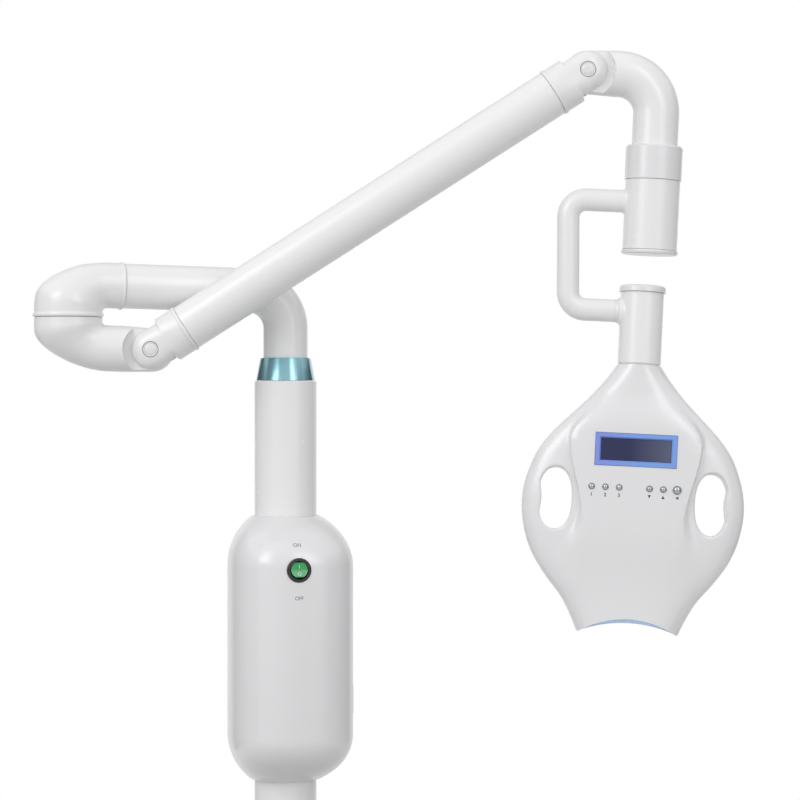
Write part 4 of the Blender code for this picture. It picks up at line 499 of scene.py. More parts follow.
# Places that follow from the sizes above
FORK_HOOD_RADIUS = bore_for(WHEEL_RADIUS, SOLID_WHEEL_FACETS) + FORK_HOOD_WALL
POLE_WAY = bore_for(POLE_RADIUS, POLE_FACETS)
SPINDLE_WAY = bore_for(SPINDLE_RADIUS, TUBE_FACETS)
BOLT_WAY = bore_for(BOLT_RADIUS, SMALL_FACETS)
SHAFT_WAY = bore_for(SWIVEL_SHAFT_RADIUS, POLE_FACETS)
AXLE_HEIGHT = WHEEL_RADIUS
FORK_TOP = AXLE_HEIGHT + FORK_HOOD_RADIUS
LEG_BOTTOM = FORK_TOP + STEM_FLANGE_HEIGHT + GAP
HUB_BOTTOM = LEG_BOTTOM
HUB_TOP = HUB_BOTTOM + HUB_HEIGHT
POLE_BOTTOM = HUB_BOTTOM + HUB_FLOOR + GAP
POLE_BORE = POLE_RADIUS - POLE_WALL
BUSH_BOTTOM = POLE_TOP - BUSH_LENGTH
TUBE_BORE = TUBE_RADIUS - TUBE_WALL
BOX_NECK_RADIUS = POLE_RADIUS + GAP + BOX_NECK_WALL
ELBOW_FACE_GAP = ELBOW_FACE_REACH + GAP
HEAD_TOP = -NECK_BOTTOM - GAP
HEAD_BOTTOM = HEAD_TOP - HEAD_LENGTH
MOUTH_RADIUS = (MOUTH_HALF_WIDTH**2 + MOUTH_RISE**2) / (2 * MOUTH_RISE)
MOUTH_AXIS = HEAD_BOTTOM + MOUTH_RISE - MOUTH_RADIUS
CAVITY_FIRST_SHARE = head_place(NECK_BOTTOM + NECK_SPIGOT_LENGTH + NECK_WALL)
CAVITY_LAST_SHARE = 1.02
PANEL_FRONT = HEAD_FRONT_DEPTH + PANEL_RISE
FRONT_DEPTHS = (
    (0, HEAD_NECK_RADIUS),
    (FULL_DEPTH_SHARES[0], HEAD_FRONT_DEPTH),
    (FULL_DEPTH_SHARES[1], HEAD_FRONT_DEPTH),
    (1, HEAD_MOUTH_DEPTH),
)
REAR_DEPTHS = (
    (0, HEAD_NECK_RADIUS),
    (FULL_DEPTH_SHARES[0], HEAD_REAR_DEPTH),
    (FULL_DEPTH_SHARES[1], HEAD_REAR_DEPTH),
    (1, HEAD_MOUTH_DEPTH),
)
BOARD_FRONT = PANEL_FRONT - FRAME_DEPTH - PANEL_DEPTH - GAP - GAP


# Building blocks: pieces are made in place, and finish_pieces() moves each onto its body
finished = {}
helpers = []
ALONG_X = (0, radians(90), 0)
ALONG_Y = (radians(-90), 0, 0)
CORNER_SIGNS = ((-1, -1), (1, -1), (1, 1), (-1, 1))


def stand_on(parent, at=(0, 0, 0), turn=(0, 0, 0)):
    """A place on the lamp, as a matrix, from the place that it stands on."""
    return (parent or Matrix()) @ Matrix.Translation(at) @ Euler(turn).to_matrix().to_4x4()


def place(name, mesh, parent=None, at=(0, 0, 0), turn=(0, 0, 0), node=None):
    """An object that stands for a node, or a helper that cuts or joins another."""
    made = bpy.data.objects.new("fine_" + name, mesh)
    bpy.context.scene.collection.objects.link(made)
    made.matrix_world = stand_on(parent, at, turn)
    if node:
        finished[name] = made
    else:
        helpers.append(made)
    return made


def mesh_of(name, shape):
    bmesh.ops.recalc_face_normals(shape, faces=shape.faces)
    mesh = bpy.data.meshes.new(name)
    shape.to_mesh(mesh)
    shape.free()
    return mesh


def turned(name, profile, facets, closed=False, **placing):
    """A profile of (radius, height) points, turned about Z. It runs down the outer side."""
    mesh = bpy.data.meshes.new(name)
    links = [(i, i + 1) for i in range(len(profile) - 1)]
    if closed:
        links.append((len(profile) - 1, 0))
    mesh.from_pydata([(r, 0, z) for r, z in profile], links, [])
    made = place(name, mesh, **placing)
    screw = made.modifiers.new("turn", "SCREW")
    screw.axis = "Z"
    screw.steps = screw.render_steps = facets
    screw.use_merge_vertices = True
    screw.merge_threshold = MERGE_DISTANCE
    return made


def round_edge(radius, height, edge, start):
    """A quarter round down the outer side of a profile: at its top from a start of pi / 2, else at its foot."""
    middle = height - edge if start else height + edge
    angles = [start - pi / 2 * i / BEAD_STEPS for i in range(BEAD_STEPS + 1)]
    return [(radius - edge + edge * cos(a), middle + edge * sin(a)) for a in angles]


def hollow(name, outer, inner, low, high, facets, **placing):
    """A plain tube or ring along Z."""
    profile = [(outer, high), (outer, low), (inner, low), (inner, high)]
    return turned(name, profile, facets, closed=True, **placing)


def rod(name, radius, low, high, facets, **placing):
    return turned(name, [(0, high), (radius, high), (radius, low), (0, low)], facets, **placing)


def lofted(name, rings, **placing):
    """Rings of equal counts of points, joined and capped."""
    shape = bmesh.new()
    rows = [[shape.verts.new(point) for point in ring] for ring in rings]
    count = len(rows[0])
    for low, high in zip(rows, rows[1:]):
        for i in range(count):
            j = (i + 1) % count
            shape.faces.new((low[i], low[j], high[j], high[i]))
    bmesh.ops.triangulate(shape, faces=shape.faces)
    shape.faces.new(rows[0])
    shape.faces.new(rows[-1])
    return place(name, mesh_of(name, shape), **placing)


def extruded(name, outline, low, high, **placing):
    """An outline of (x, z) points, drawn out along Y."""
    rings = [[(x, y, z) for x, z in outline] for y in (low, high)]
    return lofted(name, rings, **placing)


def block(name, low, high, edge=0.0, **placing):
    """A box between two corners, with rounded edges where edge is given."""
    shape = bmesh.new()
    bmesh.ops.create_cube(shape, size=1)
    for vertex in shape.verts:
        vertex.co = [b if c > 0 else a for c, a, b in zip(vertex.co, low, high)]
    made = place(name, mesh_of(name, shape), **placing)
    if edge:
        bevel = made.modifiers.new("edges", "BEVEL")
        bevel.width = edge
        bevel.segments = 2
    return made


def cut(target, *tools, operation="DIFFERENCE"):
    for tool in tools:
        boolean = target.modifiers.new(tool.name, "BOOLEAN")
        boolean.operation = operation
        boolean.solver = "MANIFOLD"
        boolean.object = tool


def pipe_stations(corners, bend, radius, steps=BEND_STEPS):
    """Stations along a line through the corners, rounded at each inner one."""
    stations = []
    legs = [(b[0] - a[0], b[1] - a[1]) for a, b in zip(corners, corners[1:])]
    headings = [atan2(z, x) for x, z in legs]
    stations.append((*corners[0], headings[0], radius))
    for corner, before, after in zip(corners[1:], headings, headings[1:]):
        turn = (after - before + pi) % (2 * pi) - pi
        back = bend * tan(abs(turn) / 2)
        side = 1 if turn > 0 else -1
        x = corner[0] - back * cos(before) - side * bend * sin(before)
        z = corner[1] - back * sin(before) + side * bend * cos(before)
        for i in range(steps + 1):
            heading = before + turn * i / steps
            there = (x + side * bend * sin(heading), z - side * bend * cos(heading))
            stations.append((*there, heading, radius))
    stations.append((*corners[-1], headings[-1], radius))
    return stations


def straight_stations(start, heading, steps):
    """Stations from a start point. Steps give distance, radius and, for ovals, half width and power."""
    x, z = start
    return [(x + d * cos(heading), z + d * sin(heading), heading, *r) for d, *r in steps]


def dome_steps(distance, radius, steps=DOME_STEPS):
    """A round end whose centre is at the distance."""
    angles = [DOME_SWEEP * i / steps for i in range(1, steps + 1)]
    return [(distance + radius * sin(a), radius * cos(a)) for a in angles]


def bead_steps(start, width, radius, rise):
    """A rounded bead around a pipe, as (distance, radius) pairs."""
    angles = [pi * i / BEAD_STEPS for i in range(BEAD_STEPS + 1)]
    heights = [radius + rise * max(0, sin(a)) ** BEAD_POWER for a in angles]
    return [(start + width / 2 * (1 - cos(a)), h) for a, h in zip(angles, heights)]


def fillet_share(into):
    """How far a round fillet has risen, at a share of the way into it."""
    return 1 - sqrt(1 - min(1, max(0, into)) ** 2)


def pipe(name, stations, facets=TUBE_FACETS, **placing):
    """Round sections along the stations, or oval and fuller ones where a half width and power follow."""
    rings = []
    turns = [(cos(2 * pi * i / facets), sin(2 * pi * i / facets)) for i in range(facets)]
    for x, z, heading, radius, *oval in stations:
        half_width, power = (*oval, 2)[:2] if oval else (radius, 2)
        across = Vector((-sin(heading), 0, cos(heading))) * radius
        side = Vector((0, half_width, 0))
        ring = []
        for c, s in turns:
            full = (abs(c) ** power + abs(s) ** power) ** (-1 / power)
            ring.append(Vector((x, 0, z)) + (across * c + side * s) * full)
        rings.append(ring)
    return lofted(name, rings, **placing)


def through(table, place_share):
    """A smooth curve through a table of (place, value) pairs."""
    last = len(table) - 1
    k = next((i for i in range(last) if place_share <= table[i + 1][0]), last - 1)
    (p0, v0), (p1, v1) = table[k], table[k + 1]
    slopes = []
    for i in (k, k + 1):
        a, b = table[max(i - 1, 0)], table[min(i + 1, last)]
        slopes.append((b[1] - a[1]) / (b[0] - a[0]) * (p1 - p0))
    t = (place_share - p0) / (p1 - p0)
    stay = v0 * (1 + 2 * t) * (1 - t) ** 2 + v1 * t * t * (3 - 2 * t)
    return stay + slopes[0] * t * (1 - t) ** 2 - slopes[1] * t * t * (1 - t)


def eased(table, place_share):
    """A curve through a table that rests flat at each of its points."""
    last = len(table) - 1
    k = next((i for i in range(last) if place_share <= table[i + 1][0]), last - 1)
    (p0, v0), (p1, v1) = table[k], table[k + 1]
    t = (place_share - p0) / (p1 - p0)
    return v0 + (v1 - v0) * t * t * (3 - 2 * t)


def mixed(a, b, share):
    return a + (b - a) * share


def leg_ring(share):
    """A rounded leg section, square to the leg's own X axis."""
    x = mixed(HUB_RADIUS * LEG_START_SHARE, LEG_REACH, share)
    half = mixed(LEG_ROOT_WIDTH, LEG_TIP_WIDTH, share) / 2
    tall = mixed(LEG_ROOT_HEIGHT, LEG_TIP_HEIGHT, share**LEG_TAPER_POWER)
    low = LEG_BOTTOM + LEG_TIP_RISE + LEG_ROOT_RISE * (1 - share) ** 2
    ring = []
    for side, level, edge, first in (
        (1, low + tall, LEG_EDGE_RADIUS, 0), (-1, low + tall, LEG_EDGE_RADIUS, pi / 2),
        (-1, low, LEG_FOOT_RADIUS, pi), (1, low, LEG_FOOT_RADIUS, pi * 3 / 2),
    ):
        middle = level - edge if level > low else level + edge
        for i in range(LEG_EDGE_STEPS + 1):
            angle = first + pi / 2 * i / LEG_EDGE_STEPS
            ring.append((x, side * (half - edge) + edge * cos(angle), middle + edge * sin(angle)))
    return ring


def build_base():
    profile = [
        (0, HUB_TOP),
        (HUB_RADIUS - HUB_EDGE, HUB_TOP),
        (HUB_RADIUS, HUB_TOP - HUB_EDGE),
        (HUB_RADIUS, HUB_BOTTOM + HUB_EDGE),
        (HUB_RADIUS - HUB_EDGE, HUB_BOTTOM),
        (0, HUB_BOTTOM),
    ]
    base = turned("star_base", profile, POLE_FACETS, parent=None, node=True)
    well = rod(
        "pole_well", POLE_WAY, HUB_BOTTOM + HUB_FLOOR, HUB_TOP + CUT_OVERRUN,
        POLE_FACETS, parent=None,
    )
    holes = []
    for i in range(LEG_COUNT):
        angle = 2 * pi * i / LEG_COUNT
        tip_at = (LEG_REACH * cos(angle), LEG_REACH * sin(angle), 0)
        rings = [leg_ring(k / (LEG_STATIONS - 1)) for k in range(LEG_STATIONS)]
        leg = lofted(f"leg_{i + 1}", rings, parent=None, turn=(0, 0, angle))
        boss = rod(
            f"leg_boss_{i + 1}", LEG_BOSS_RADIUS, LEG_BOTTOM, LEG_BOTTOM + LEG_BOSS_HEIGHT,
            SMALL_FACETS, parent=None, at=tip_at, turn=(0, 0, angle),
        )
        socket = rod(
            f"stem_socket_{i + 1}", bore_for(STEM_RADIUS, SMALL_FACETS), LEG_BOTTOM - CUT_OVERRUN,
            LEG_BOTTOM + STEM_LENGTH + GAP, SMALL_FACETS, parent=None, at=tip_at,
        )
        cut(base, leg, boss, operation="UNION")
        holes.append(socket)
    cut(well, *holes, operation="UNION")
    cut(base, well)


def build_casters():
    for i in range(LEG_COUNT):
        number = i + 1
        angle = 2 * pi * i / LEG_COUNT
        at = (LEG_REACH * cos(angle), LEG_REACH * sin(angle), 0)
        swivel = stand_on(None, at, (0, 0, angle))
        build_fork(number, swivel)
        build_wheel(number, swivel)


def arc_points(radius, first, last, steps):
    angles = [mixed(first, last, i / steps) for i in range(steps + 1)]
    return [(radius * cos(a), radius * sin(a)) for a in angles]


def build_fork(number, swivel):
    """A hood over the twin wheel, a web down between them to the axle, and the stem."""
    axle_at = (-CASTER_TRAIL, 0, AXLE_HEIGHT)
    inner = FORK_HOOD_RADIUS - FORK_HOOD_WALL
    outside = arc_points(FORK_HOOD_RADIUS, HOOD_FIRST, HOOD_LAST, HOOD_STEPS)
    inside = arc_points(inner, HOOD_LAST, HOOD_FIRST, HOOD_STEPS)
    half = FORK_HOOD_WIDTH / 2
    fork = extruded(
        f"caster_fork_{number}", outside + inside, -half, half, parent=swivel, at=axle_at,
        node=True,
    )
    middle = inner + FORK_HOOD_WALL / 2
    web_outline = arc_points(middle, HOOD_FIRST, HOOD_LAST, HOOD_STEPS)
    web_outline += arc_points(AXLE_RADIUS * 2, pi, 2 * pi, 2)
    half = FORK_THICKNESS / 2
    web = extruded(f"fork_web_{number}", web_outline, -half, half, parent=swivel, at=axle_at)
    profile = [
        (0, LEG_BOTTOM + STEM_LENGTH),
        (STEM_RADIUS, LEG_BOTTOM + STEM_LENGTH),
        (STEM_RADIUS, LEG_BOTTOM - GAP),
        (STEM_FLANGE_RADIUS, LEG_BOTTOM - GAP),
        (STEM_FLANGE_RADIUS, AXLE_HEIGHT + inner + GAP),
        (0, AXLE_HEIGHT + inner + GAP),
    ]
    stem = turned(f"fork_stem_{number}", profile, SMALL_FACETS, parent=swivel)
    clear = rod(
        f"fork_clear_{number}", inner, half, FORK_HOOD_WIDTH, WHEEL_FACETS, parent=swivel,
        at=axle_at, turn=ALONG_Y,
    )
    clear_back = rod(
        f"fork_clear_back_{number}", inner, -FORK_HOOD_WIDTH, -half, WHEEL_FACETS,
        parent=swivel, at=axle_at, turn=ALONG_Y,
    )
    bore = rod(
        f"fork_bore_{number}", bore_for(AXLE_RADIUS, SMALL_FACETS), -FORK_THICKNESS,
        FORK_THICKNESS, SMALL_FACETS, parent=swivel, at=axle_at, turn=ALONG_Y,
    )
    cut(fork, web, stem, operation="UNION")
    cut(fork, clear, clear_back, bore)


def build_wheel(number, swivel):
    """Two wheels on one axle, turned about Y."""
    inside = FORK_THICKNESS / 2 + GAP
    outside = inside + WHEEL_WIDTH
    dish = outside - WHEEL_DISH_DEPTH
    half_profile = [
        (0, outside),
        (WHEEL_HUB_RADIUS, outside),
        (WHEEL_HUB_RADIUS + WHEEL_DISH_DEPTH / 2, dish),
        (WHEEL_DISH_RADIUS - WHEEL_DISH_DEPTH / 2, dish),
        (WHEEL_DISH_RADIUS, outside),
        *round_edge(WHEEL_RADIUS, outside, WHEEL_EDGE, pi / 2),
        (WHEEL_RADIUS, inside),
        (AXLE_RADIUS, inside),
    ]
    profile = half_profile + [(r, -y) for r, y in reversed(half_profile)]
    turned(
        f"caster_wheel_{number}", profile, WHEEL_FACETS, parent=swivel,
        at=(-CASTER_TRAIL, 0, AXLE_HEIGHT), turn=ALONG_Y, node=True,
    )


def build_pole():
    profile = [
        (POLE_RADIUS - POLE_EDGE, POLE_TOP),
        (POLE_RADIUS, POLE_TOP - POLE_EDGE),
        (POLE_RADIUS, POLE_BOTTOM),
        (POLE_BORE, POLE_BOTTOM),
        (POLE_BORE, POLE_TOP),
    ]
    turned("stand_pole", profile, POLE_FACETS, closed=True, parent=None, node=True)
    low = HUB_TOP + GAP
    inner = POLE_WAY
    outer = inner + COLLAR_WALL
    profile = [
        (outer - COLLAR_EDGE, low + COLLAR_HEIGHT),
        (outer, low + COLLAR_HEIGHT - COLLAR_EDGE),
        (outer, low),
        (inner, low),
        (inner, low + COLLAR_HEIGHT),
    ]
    turned("base_collar", profile, POLE_FACETS, closed=True, parent=None, node=True)
    low = POLE_TOP + GAP
    high = low + TOP_RING_HEIGHT
    inner = bore_for(TUBE_RADIUS, POLE_FACETS)
    profile = [
        (TOP_RING_TOP_RADIUS - TOP_RING_EDGE, high),
        (TOP_RING_TOP_RADIUS, high - TOP_RING_EDGE),
        (TOP_RING_BOTTOM_RADIUS, low),
        (inner, low),
        (inner, high),
    ]
    turned("pole_top_ring", profile, POLE_FACETS, closed=True, parent=None, node=True)
    outer = POLE_BORE - GAP
    ledge = BUSH_BOTTOM + BUSH_LEDGE_HEIGHT
    profile = [
        (outer, POLE_TOP),
        (outer, BUSH_BOTTOM),
        (inner - BUSH_LEDGE_WIDTH, BUSH_BOTTOM),
        (inner - BUSH_LEDGE_WIDTH, ledge),
        (inner, ledge),
        (inner, POLE_TOP),
    ]
    turned("pole_swivel_bush", profile, POLE_FACETS, closed=True, parent=None, node=True)


def box_ring(height_share, inset):
    """A box section, at a share of the way from its bottom to its top."""
    height = mixed(BOX_BOTTOM + inset, BOX_TOP - inset, height_share)
    from_end = min(height - BOX_BOTTOM, BOX_TOP - height)
    into_end = max(0, BOX_END_HEIGHT - from_end)
    end_width = BOX_NECK_RADIUS / BOX_HALF_WIDTH
    curve_height = BOX_END_HEIGHT / sqrt(1 - end_width**2)
    width_share = sqrt(1 - (into_end / curve_height) ** 2)
    fullness = (width_share - end_width) / (1 - end_width)
    half = BOX_HALF_WIDTH * width_share - inset
    front = mixed(BOX_NECK_RADIUS, BOX_FRONT, fullness) - inset
    rear = mixed(BOX_NECK_RADIUS, BOX_REAR, fullness) - inset
    power = 2 / mixed(2, BOX_CORNER_POWER, fullness)
    ring = []
    for i in range(BOX_RING_POINTS):
        angle = 2 * pi * i / BOX_RING_POINTS
        c, s = cos(angle), sin(angle)
        x = half * abs(c) ** power * (1 if c > 0 else -1)
        y = (rear + front) / 2 * abs(s) ** power * (1 if s > 0 else -1)
        ring.append((x, y + (rear - front) / 2, height))
    return ring


def box_shares(inset):
    """Ring places that follow the two round ends."""
    span = BOX_TOP - BOX_BOTTOM - 2 * inset
    shares = []
    for i in range(BOX_END_RINGS + 1):
        angle = pi / 2 * i / BOX_END_RINGS
        shares.append((BOX_END_HEIGHT - inset) * (1 - cos(angle)) / span)
    return shares + [1 - share for share in reversed(shares)]


def box_solid(name, inset, **placing):
    return lofted(name, [box_ring(share, inset) for share in box_shares(inset)], **placing)


def build_box():
    boxes = stand_on(None, turn=(0, 0, BOX_TURN))
    build_switch(boxes)
    build_inlet(boxes)
    far = BOX_FRONT + CUT_OVERRUN
    pole_way = rod(
        "box_pole_way", POLE_WAY, BOX_BOTTOM - CUT_OVERRUN, BOX_TOP + CUT_OVERRUN,
        POLE_FACETS, parent=boxes,
    )
    room = box_solid("box_room", BOX_WALL, parent=boxes)
    seat = BOX_FRONT + BEZEL_PROUD - BEZEL_FLANGE - GAP
    deep = seat - BARREL_LENGTH
    profile = [
        (0, far),
        (BEZEL_RADIUS + GAP, far),
        (BEZEL_RADIUS + GAP, seat),
        (BARREL_RADIUS + GAP, seat),
        (BARREL_RADIUS + GAP, deep),
        (0, deep),
    ]
    switch_way = turned(
        "switch_way", profile, TUBE_FACETS, parent=boxes,
        at=(SWITCH_OFFSET, 0, SWITCH_HEIGHT), turn=(radians(90), 0, 0),
    )
    inlet_ways = []
    for name, width, height, depth in (
        ("inlet_way", INLET_FLANGE_WIDTH, INLET_FLANGE_HEIGHT, INLET_FLANGE_DEPTH),
        ("inlet_body_way", INLET_BODY_WIDTH, INLET_BODY_HEIGHT, INLET_BODY_DEPTH),
    ):
        half_y, half_z = width / 2 + GAP, height / 2 + GAP
        inlet_ways.append(
            block(
                name,
                (BOX_HALF_WIDTH - depth - GAP, -INLET_SETBACK - half_y, INLET_HEIGHT - half_z),
                (BOX_HALF_WIDTH + depth, -INLET_SETBACK + half_y, INLET_HEIGHT + half_z),
                parent=boxes,
            )
        )
    inlet_way, inlet_body_way = inlet_ways
    cut(inlet_way, inlet_body_way, operation="UNION")
    for name, low, high in (
        ("box_front_cover", -GAP / 2, far),
        ("box_rear_cover", -far, -GAP / 2),
    ):
        cover = box_solid(name, 0, parent=boxes, node=True)
        wide = BOX_HALF_WIDTH + CUT_OVERRUN
        away = block(
            name + "_away", (-wide, low, BOX_BOTTOM - CUT_OVERRUN),
            (wide, high + GAP, BOX_TOP + CUT_OVERRUN), parent=boxes,
        )
        cut(cover, room, pole_way, away)
        if name == "box_front_cover":
            cut(cover, switch_way, inlet_way)
    return boxes


def build_switch(boxes):
    """A round bezel with a rocker that pivots about the box's X axis."""
    face = -BOX_FRONT - BEZEL_PROUD
    holder = stand_on(boxes, (SWITCH_OFFSET, face, SWITCH_HEIGHT))
    flat = -BEZEL_FLANGE
    floor = -ROCKER_PIVOT_DEPTH * 2 - ROCKER_BACK
    profile = [
        (0, floor),
        (ROCKER_WELL_RADIUS, floor),
        (ROCKER_WELL_RADIUS, 0),
        (BEZEL_RADIUS - BEZEL_PROUD, 0),
        (BEZEL_RADIUS, -BEZEL_PROUD),
        (BEZEL_RADIUS, flat),
        (BARREL_RADIUS, flat),
        (BARREL_RADIUS, -BARREL_LENGTH),
        (0, -BARREL_LENGTH),
    ]
    turned(
        "switch_bezel", profile, TUBE_FACETS, parent=holder, turn=(radians(90), 0, 0),
        node=True,
    )
    pivot = stand_on(holder, (0, ROCKER_PIVOT_DEPTH, 0), (-ROCKER_SLOPE, 0, 0))
    front = -ROCKER_PIVOT_DEPTH - ROCKER_PROUD + ROCKER_RADIUS * tan(ROCKER_SLOPE)
    tip = -ROCKER_PIVOT_DEPTH - ROCKER_PROUD
    start = atan2(-tip, ROCKER_RADIUS)
    end = -atan2(ROCKER_BACK, ROCKER_RADIUS)
    arc = [mixed(start, end, i / ROCKER_ARC_STEPS) for i in range(ROCKER_ARC_STEPS + 1)]
    top = [(-sin(a) * ROCKER_RADIUS, cos(a) * ROCKER_RADIUS) for a in arc]
    side = [(front, 0)] + top + [(y, -z) for y, z in reversed(top)]
    rings = [[(x, y, z) for y, z in side] for x in (-ROCKER_RADIUS, ROCKER_RADIUS)]
    rocker = lofted("switch_rocker", rings, parent=pivot, node=True)
    rounding = rod(
        "rocker_rounding", ROCKER_RADIUS, -ROCKER_RADIUS * 2, ROCKER_RADIUS * 2, TUBE_FACETS,
        parent=pivot, turn=ALONG_Y,
    )
    cut(rocker, rounding, operation="INTERSECT")


def build_inlet(boxes):
    """A recessed three-pin inlet, facing +X in the box's frame."""
    face = BOX_HALF_WIDTH
    socket = stand_on(boxes, (face, -INLET_SETBACK, INLET_HEIGHT))
    inlet = block(
        "mains_inlet", (-INLET_FLANGE_DEPTH, -INLET_FLANGE_WIDTH / 2, -INLET_FLANGE_HEIGHT / 2),
        (0, INLET_FLANGE_WIDTH / 2, INLET_FLANGE_HEIGHT / 2), parent=socket, node=True,
    )
    body = block(
        "inlet_body",
        (-INLET_BODY_DEPTH, -INLET_BODY_WIDTH / 2, -INLET_BODY_HEIGHT / 2),
        (-INLET_FLANGE_DEPTH / 2, INLET_BODY_WIDTH / 2, INLET_BODY_HEIGHT / 2), parent=socket,
    )
    half_y, half_z = INLET_SOCKET_WIDTH / 2, INLET_SOCKET_HEIGHT / 2
    outline = [
        (half_y, half_z - INLET_CORNER * 2),
        (half_y - INLET_CORNER * 2, half_z),
        (-half_y + INLET_CORNER * 2, half_z),
        (-half_y, half_z - INLET_CORNER * 2),
        (-half_y, -half_z),
        (half_y, -half_z),
    ]
    rings = [[(x, y, z) for y, z in outline] for x in (-INLET_SOCKET_DEPTH, CUT_OVERRUN)]
    recess = lofted("inlet_recess", rings, parent=socket)
    cut(inlet, body, operation="UNION")
    cut(inlet, recess)
    half_t, half_w = INLET_PIN_THICKNESS / 2, INLET_PIN_WIDTH / 2
    root = -INLET_SOCKET_DEPTH - INLET_PIN_THICKNESS / 2
    pins = []
    for name, y, z in (
        ("pin_left", -INLET_PIN_SPACING, -INLET_PIN_RISE),
        ("pin_earth", 0, INLET_PIN_RISE),
        ("pin_right", INLET_PIN_SPACING, -INLET_PIN_RISE),
    ):
        pins.append(
            block(
                name, (root, y - half_t, z - half_w),
                (root + INLET_PIN_LENGTH, y + half_t, z + half_w), parent=socket,
            )
        )
    cut(inlet, *pins, operation="UNION")


def elbow_stations(first, reaches, rise, end_turn):
    """Sections that fan round the inner corner, from the seam to the arm's tube."""
    pivot_x = ELBOW_CORNER_REACH
    first_inner = ELBOW_CORNER_REACH - ELBOW_BODY_RADIUS
    stations = straight_stations((0, 0), pi / 2, first)
    for i in range(ELBOW_STEPS + 1):
        share = i / ELBOW_STEPS
        fan = (pi / 2 + end_turn) * share
        outer = through(reaches, share)
        inner = mixed(first_inner, ELBOW_INNER_RADIUS, share)
        middle = (inner + outer) / 2
        x = pivot_x - middle * cos(fan)
        z = rise + middle * sin(fan)
        stations.append((x, z, pi / 2 - fan, (outer - inner) / 2))
    return stations


def build_swing_arm():
    swing = stand_on(None, (0, 0, 0), (0, 0, SWING_TURN))
    corner_height = SWING_HEIGHT - SWING_LENGTH * tan(SWING_RISE)
    foot = BUSH_BOTTOM + BUSH_LEDGE_HEIGHT + GAP
    reach = SWING_LENGTH - ELBOW_FACE_GAP
    end_height = corner_height + reach * tan(SWING_RISE)
    corners = [(0, foot), (0, corner_height), (reach, end_height)]
    tube = pipe(
        "swing_arm_tube", pipe_stations(corners, TUBE_BEND, TUBE_RADIUS - PASSING_ROOM),
        parent=swing, node=True,
    )
    heading = SWING_RISE
    past = [
        (0, foot - CUT_OVERRUN),
        (0, corner_height),
        (reach + CUT_OVERRUN * cos(heading), end_height + CUT_OVERRUN * sin(heading)),
    ]
    bore = pipe("swing_bore", pipe_stations(past, TUBE_BEND, TUBE_BORE), parent=swing)
    cut(tube, bore)
    build_upper_elbow(swing)
    return swing


def build_upper_elbow(swing):
    seat = stand_on(swing, (SWING_LENGTH, 0, SWING_HEIGHT - SEAM_DROP), (0, 0, pi)
    )
    flange = bead_steps(
        0, FLANGE_HEIGHT, ELBOW_BODY_RADIUS, FLANGE_RADIUS - ELBOW_BODY_RADIUS
    )
    stations = elbow_stations(flange, UPPER_ELBOW_REACHES, UPPER_ELBOW_RISE, SWING_RISE)
    x, z, heading, radius = stations[-1]
    face = (ELBOW_FACE_REACH - x) / cos(heading)
    steps = [
        *bead_steps(face - ELBOW_LIP_WIDTH, ELBOW_LIP_WIDTH, radius, ELBOW_LIP_RISE),
        (face, TUBE_BORE - GAP),
        (face + SPIGOT_LENGTH, TUBE_BORE - GAP),
    ]
    stations += straight_stations((x, z), heading, steps)
    elbow = pipe("upper_elbow", stations, parent=seat, node=True)
    spindle_way = rod(
        "upper_spindle_way", SPINDLE_WAY, -CUT_OVERRUN, SPINDLE_LENGTH / 2 + GAP,
        TUBE_FACETS, parent=seat,
    )
    way = [
        (0, z - x * tan(heading), heading, ELBOW_CABLE_RADIUS),
        *straight_stations(
            (x, z), heading, [(face + SPIGOT_LENGTH + CUT_OVERRUN, ELBOW_CABLE_RADIUS)]
        ),
    ]
    cable_way = pipe("upper_cable_way", way, SMALL_FACETS, parent=seat)
    cut(elbow, spindle_way, cable_way)
    half = SPINDLE_LENGTH / 2
    hollow(
        "elbow_spindle", SPINDLE_RADIUS, SPINDLE_BORE, -half, half, TUBE_FACETS,
        parent=seat, node=True,
    )


def hinge_cuts(name, parent, at):
    """What leaves a tongue at a pipe's end: a disc off each side, and the bolt's bore."""
    half = TONGUE_THICKNESS / 2
    wide = TUBE_RADIUS + CUT_OVERRUN
    tools = [
        rod(
            f"{name}_shoulder_{side}", SHOULDER_RADIUS, low, high, TUBE_FACETS,
            parent=parent, at=at, turn=ALONG_Y,
        )
        for side, low, high in (("front", -wide, -half), ("rear", half, wide))
    ]
    tools.append(
        rod(
            f"{name}_bore", BOLT_WAY, -wide, wide, SMALL_FACETS,
            parent=parent, at=at, turn=ALONG_Y,
        )
    )
    return tools


def build_lower_elbow(swing):
    elbow_axis = stand_on(
        swing, (SWING_LENGTH, 0, SWING_HEIGHT - SEAM_DROP), (0, 0, -SWING_TURN)
    )
    flipped = stand_on(elbow_axis, (0, 0, -GAP), (pi, 0, 0))
    seam = [(0, ELBOW_BODY_RADIUS - ELBOW_SEAM_EDGE), (ELBOW_SEAM_EDGE, ELBOW_BODY_RADIUS)]
    stations = elbow_stations(seam, LOWER_ELBOW_REACHES, LOWER_ELBOW_RISE, -LOWER_ARM_DROP)
    x, z, heading, radius = stations[-1]
    to_pin = (HINGE_REACH - x) / cos(heading)
    steps = [
        (to_pin - SHOULDER_RADIUS, radius),
        (to_pin, TONGUE_RADIUS),
        *dome_steps(to_pin, TONGUE_RADIUS),
    ]
    stations += straight_stations((x, z), heading, steps)
    elbow = pipe("lower_elbow", stations, parent=flipped, node=True)
    spindle_way = rod(
        "lower_spindle_way", SPINDLE_WAY, -CUT_OVERRUN, SPINDLE_LENGTH / 2 + GAP,
        TUBE_FACETS, parent=flipped,
    )
    pin_at = (HINGE_REACH, 0, HINGE_DROP - GAP)
    cut(elbow, spindle_way, *hinge_cuts("lower_elbow", flipped, pin_at))
    return elbow_axis


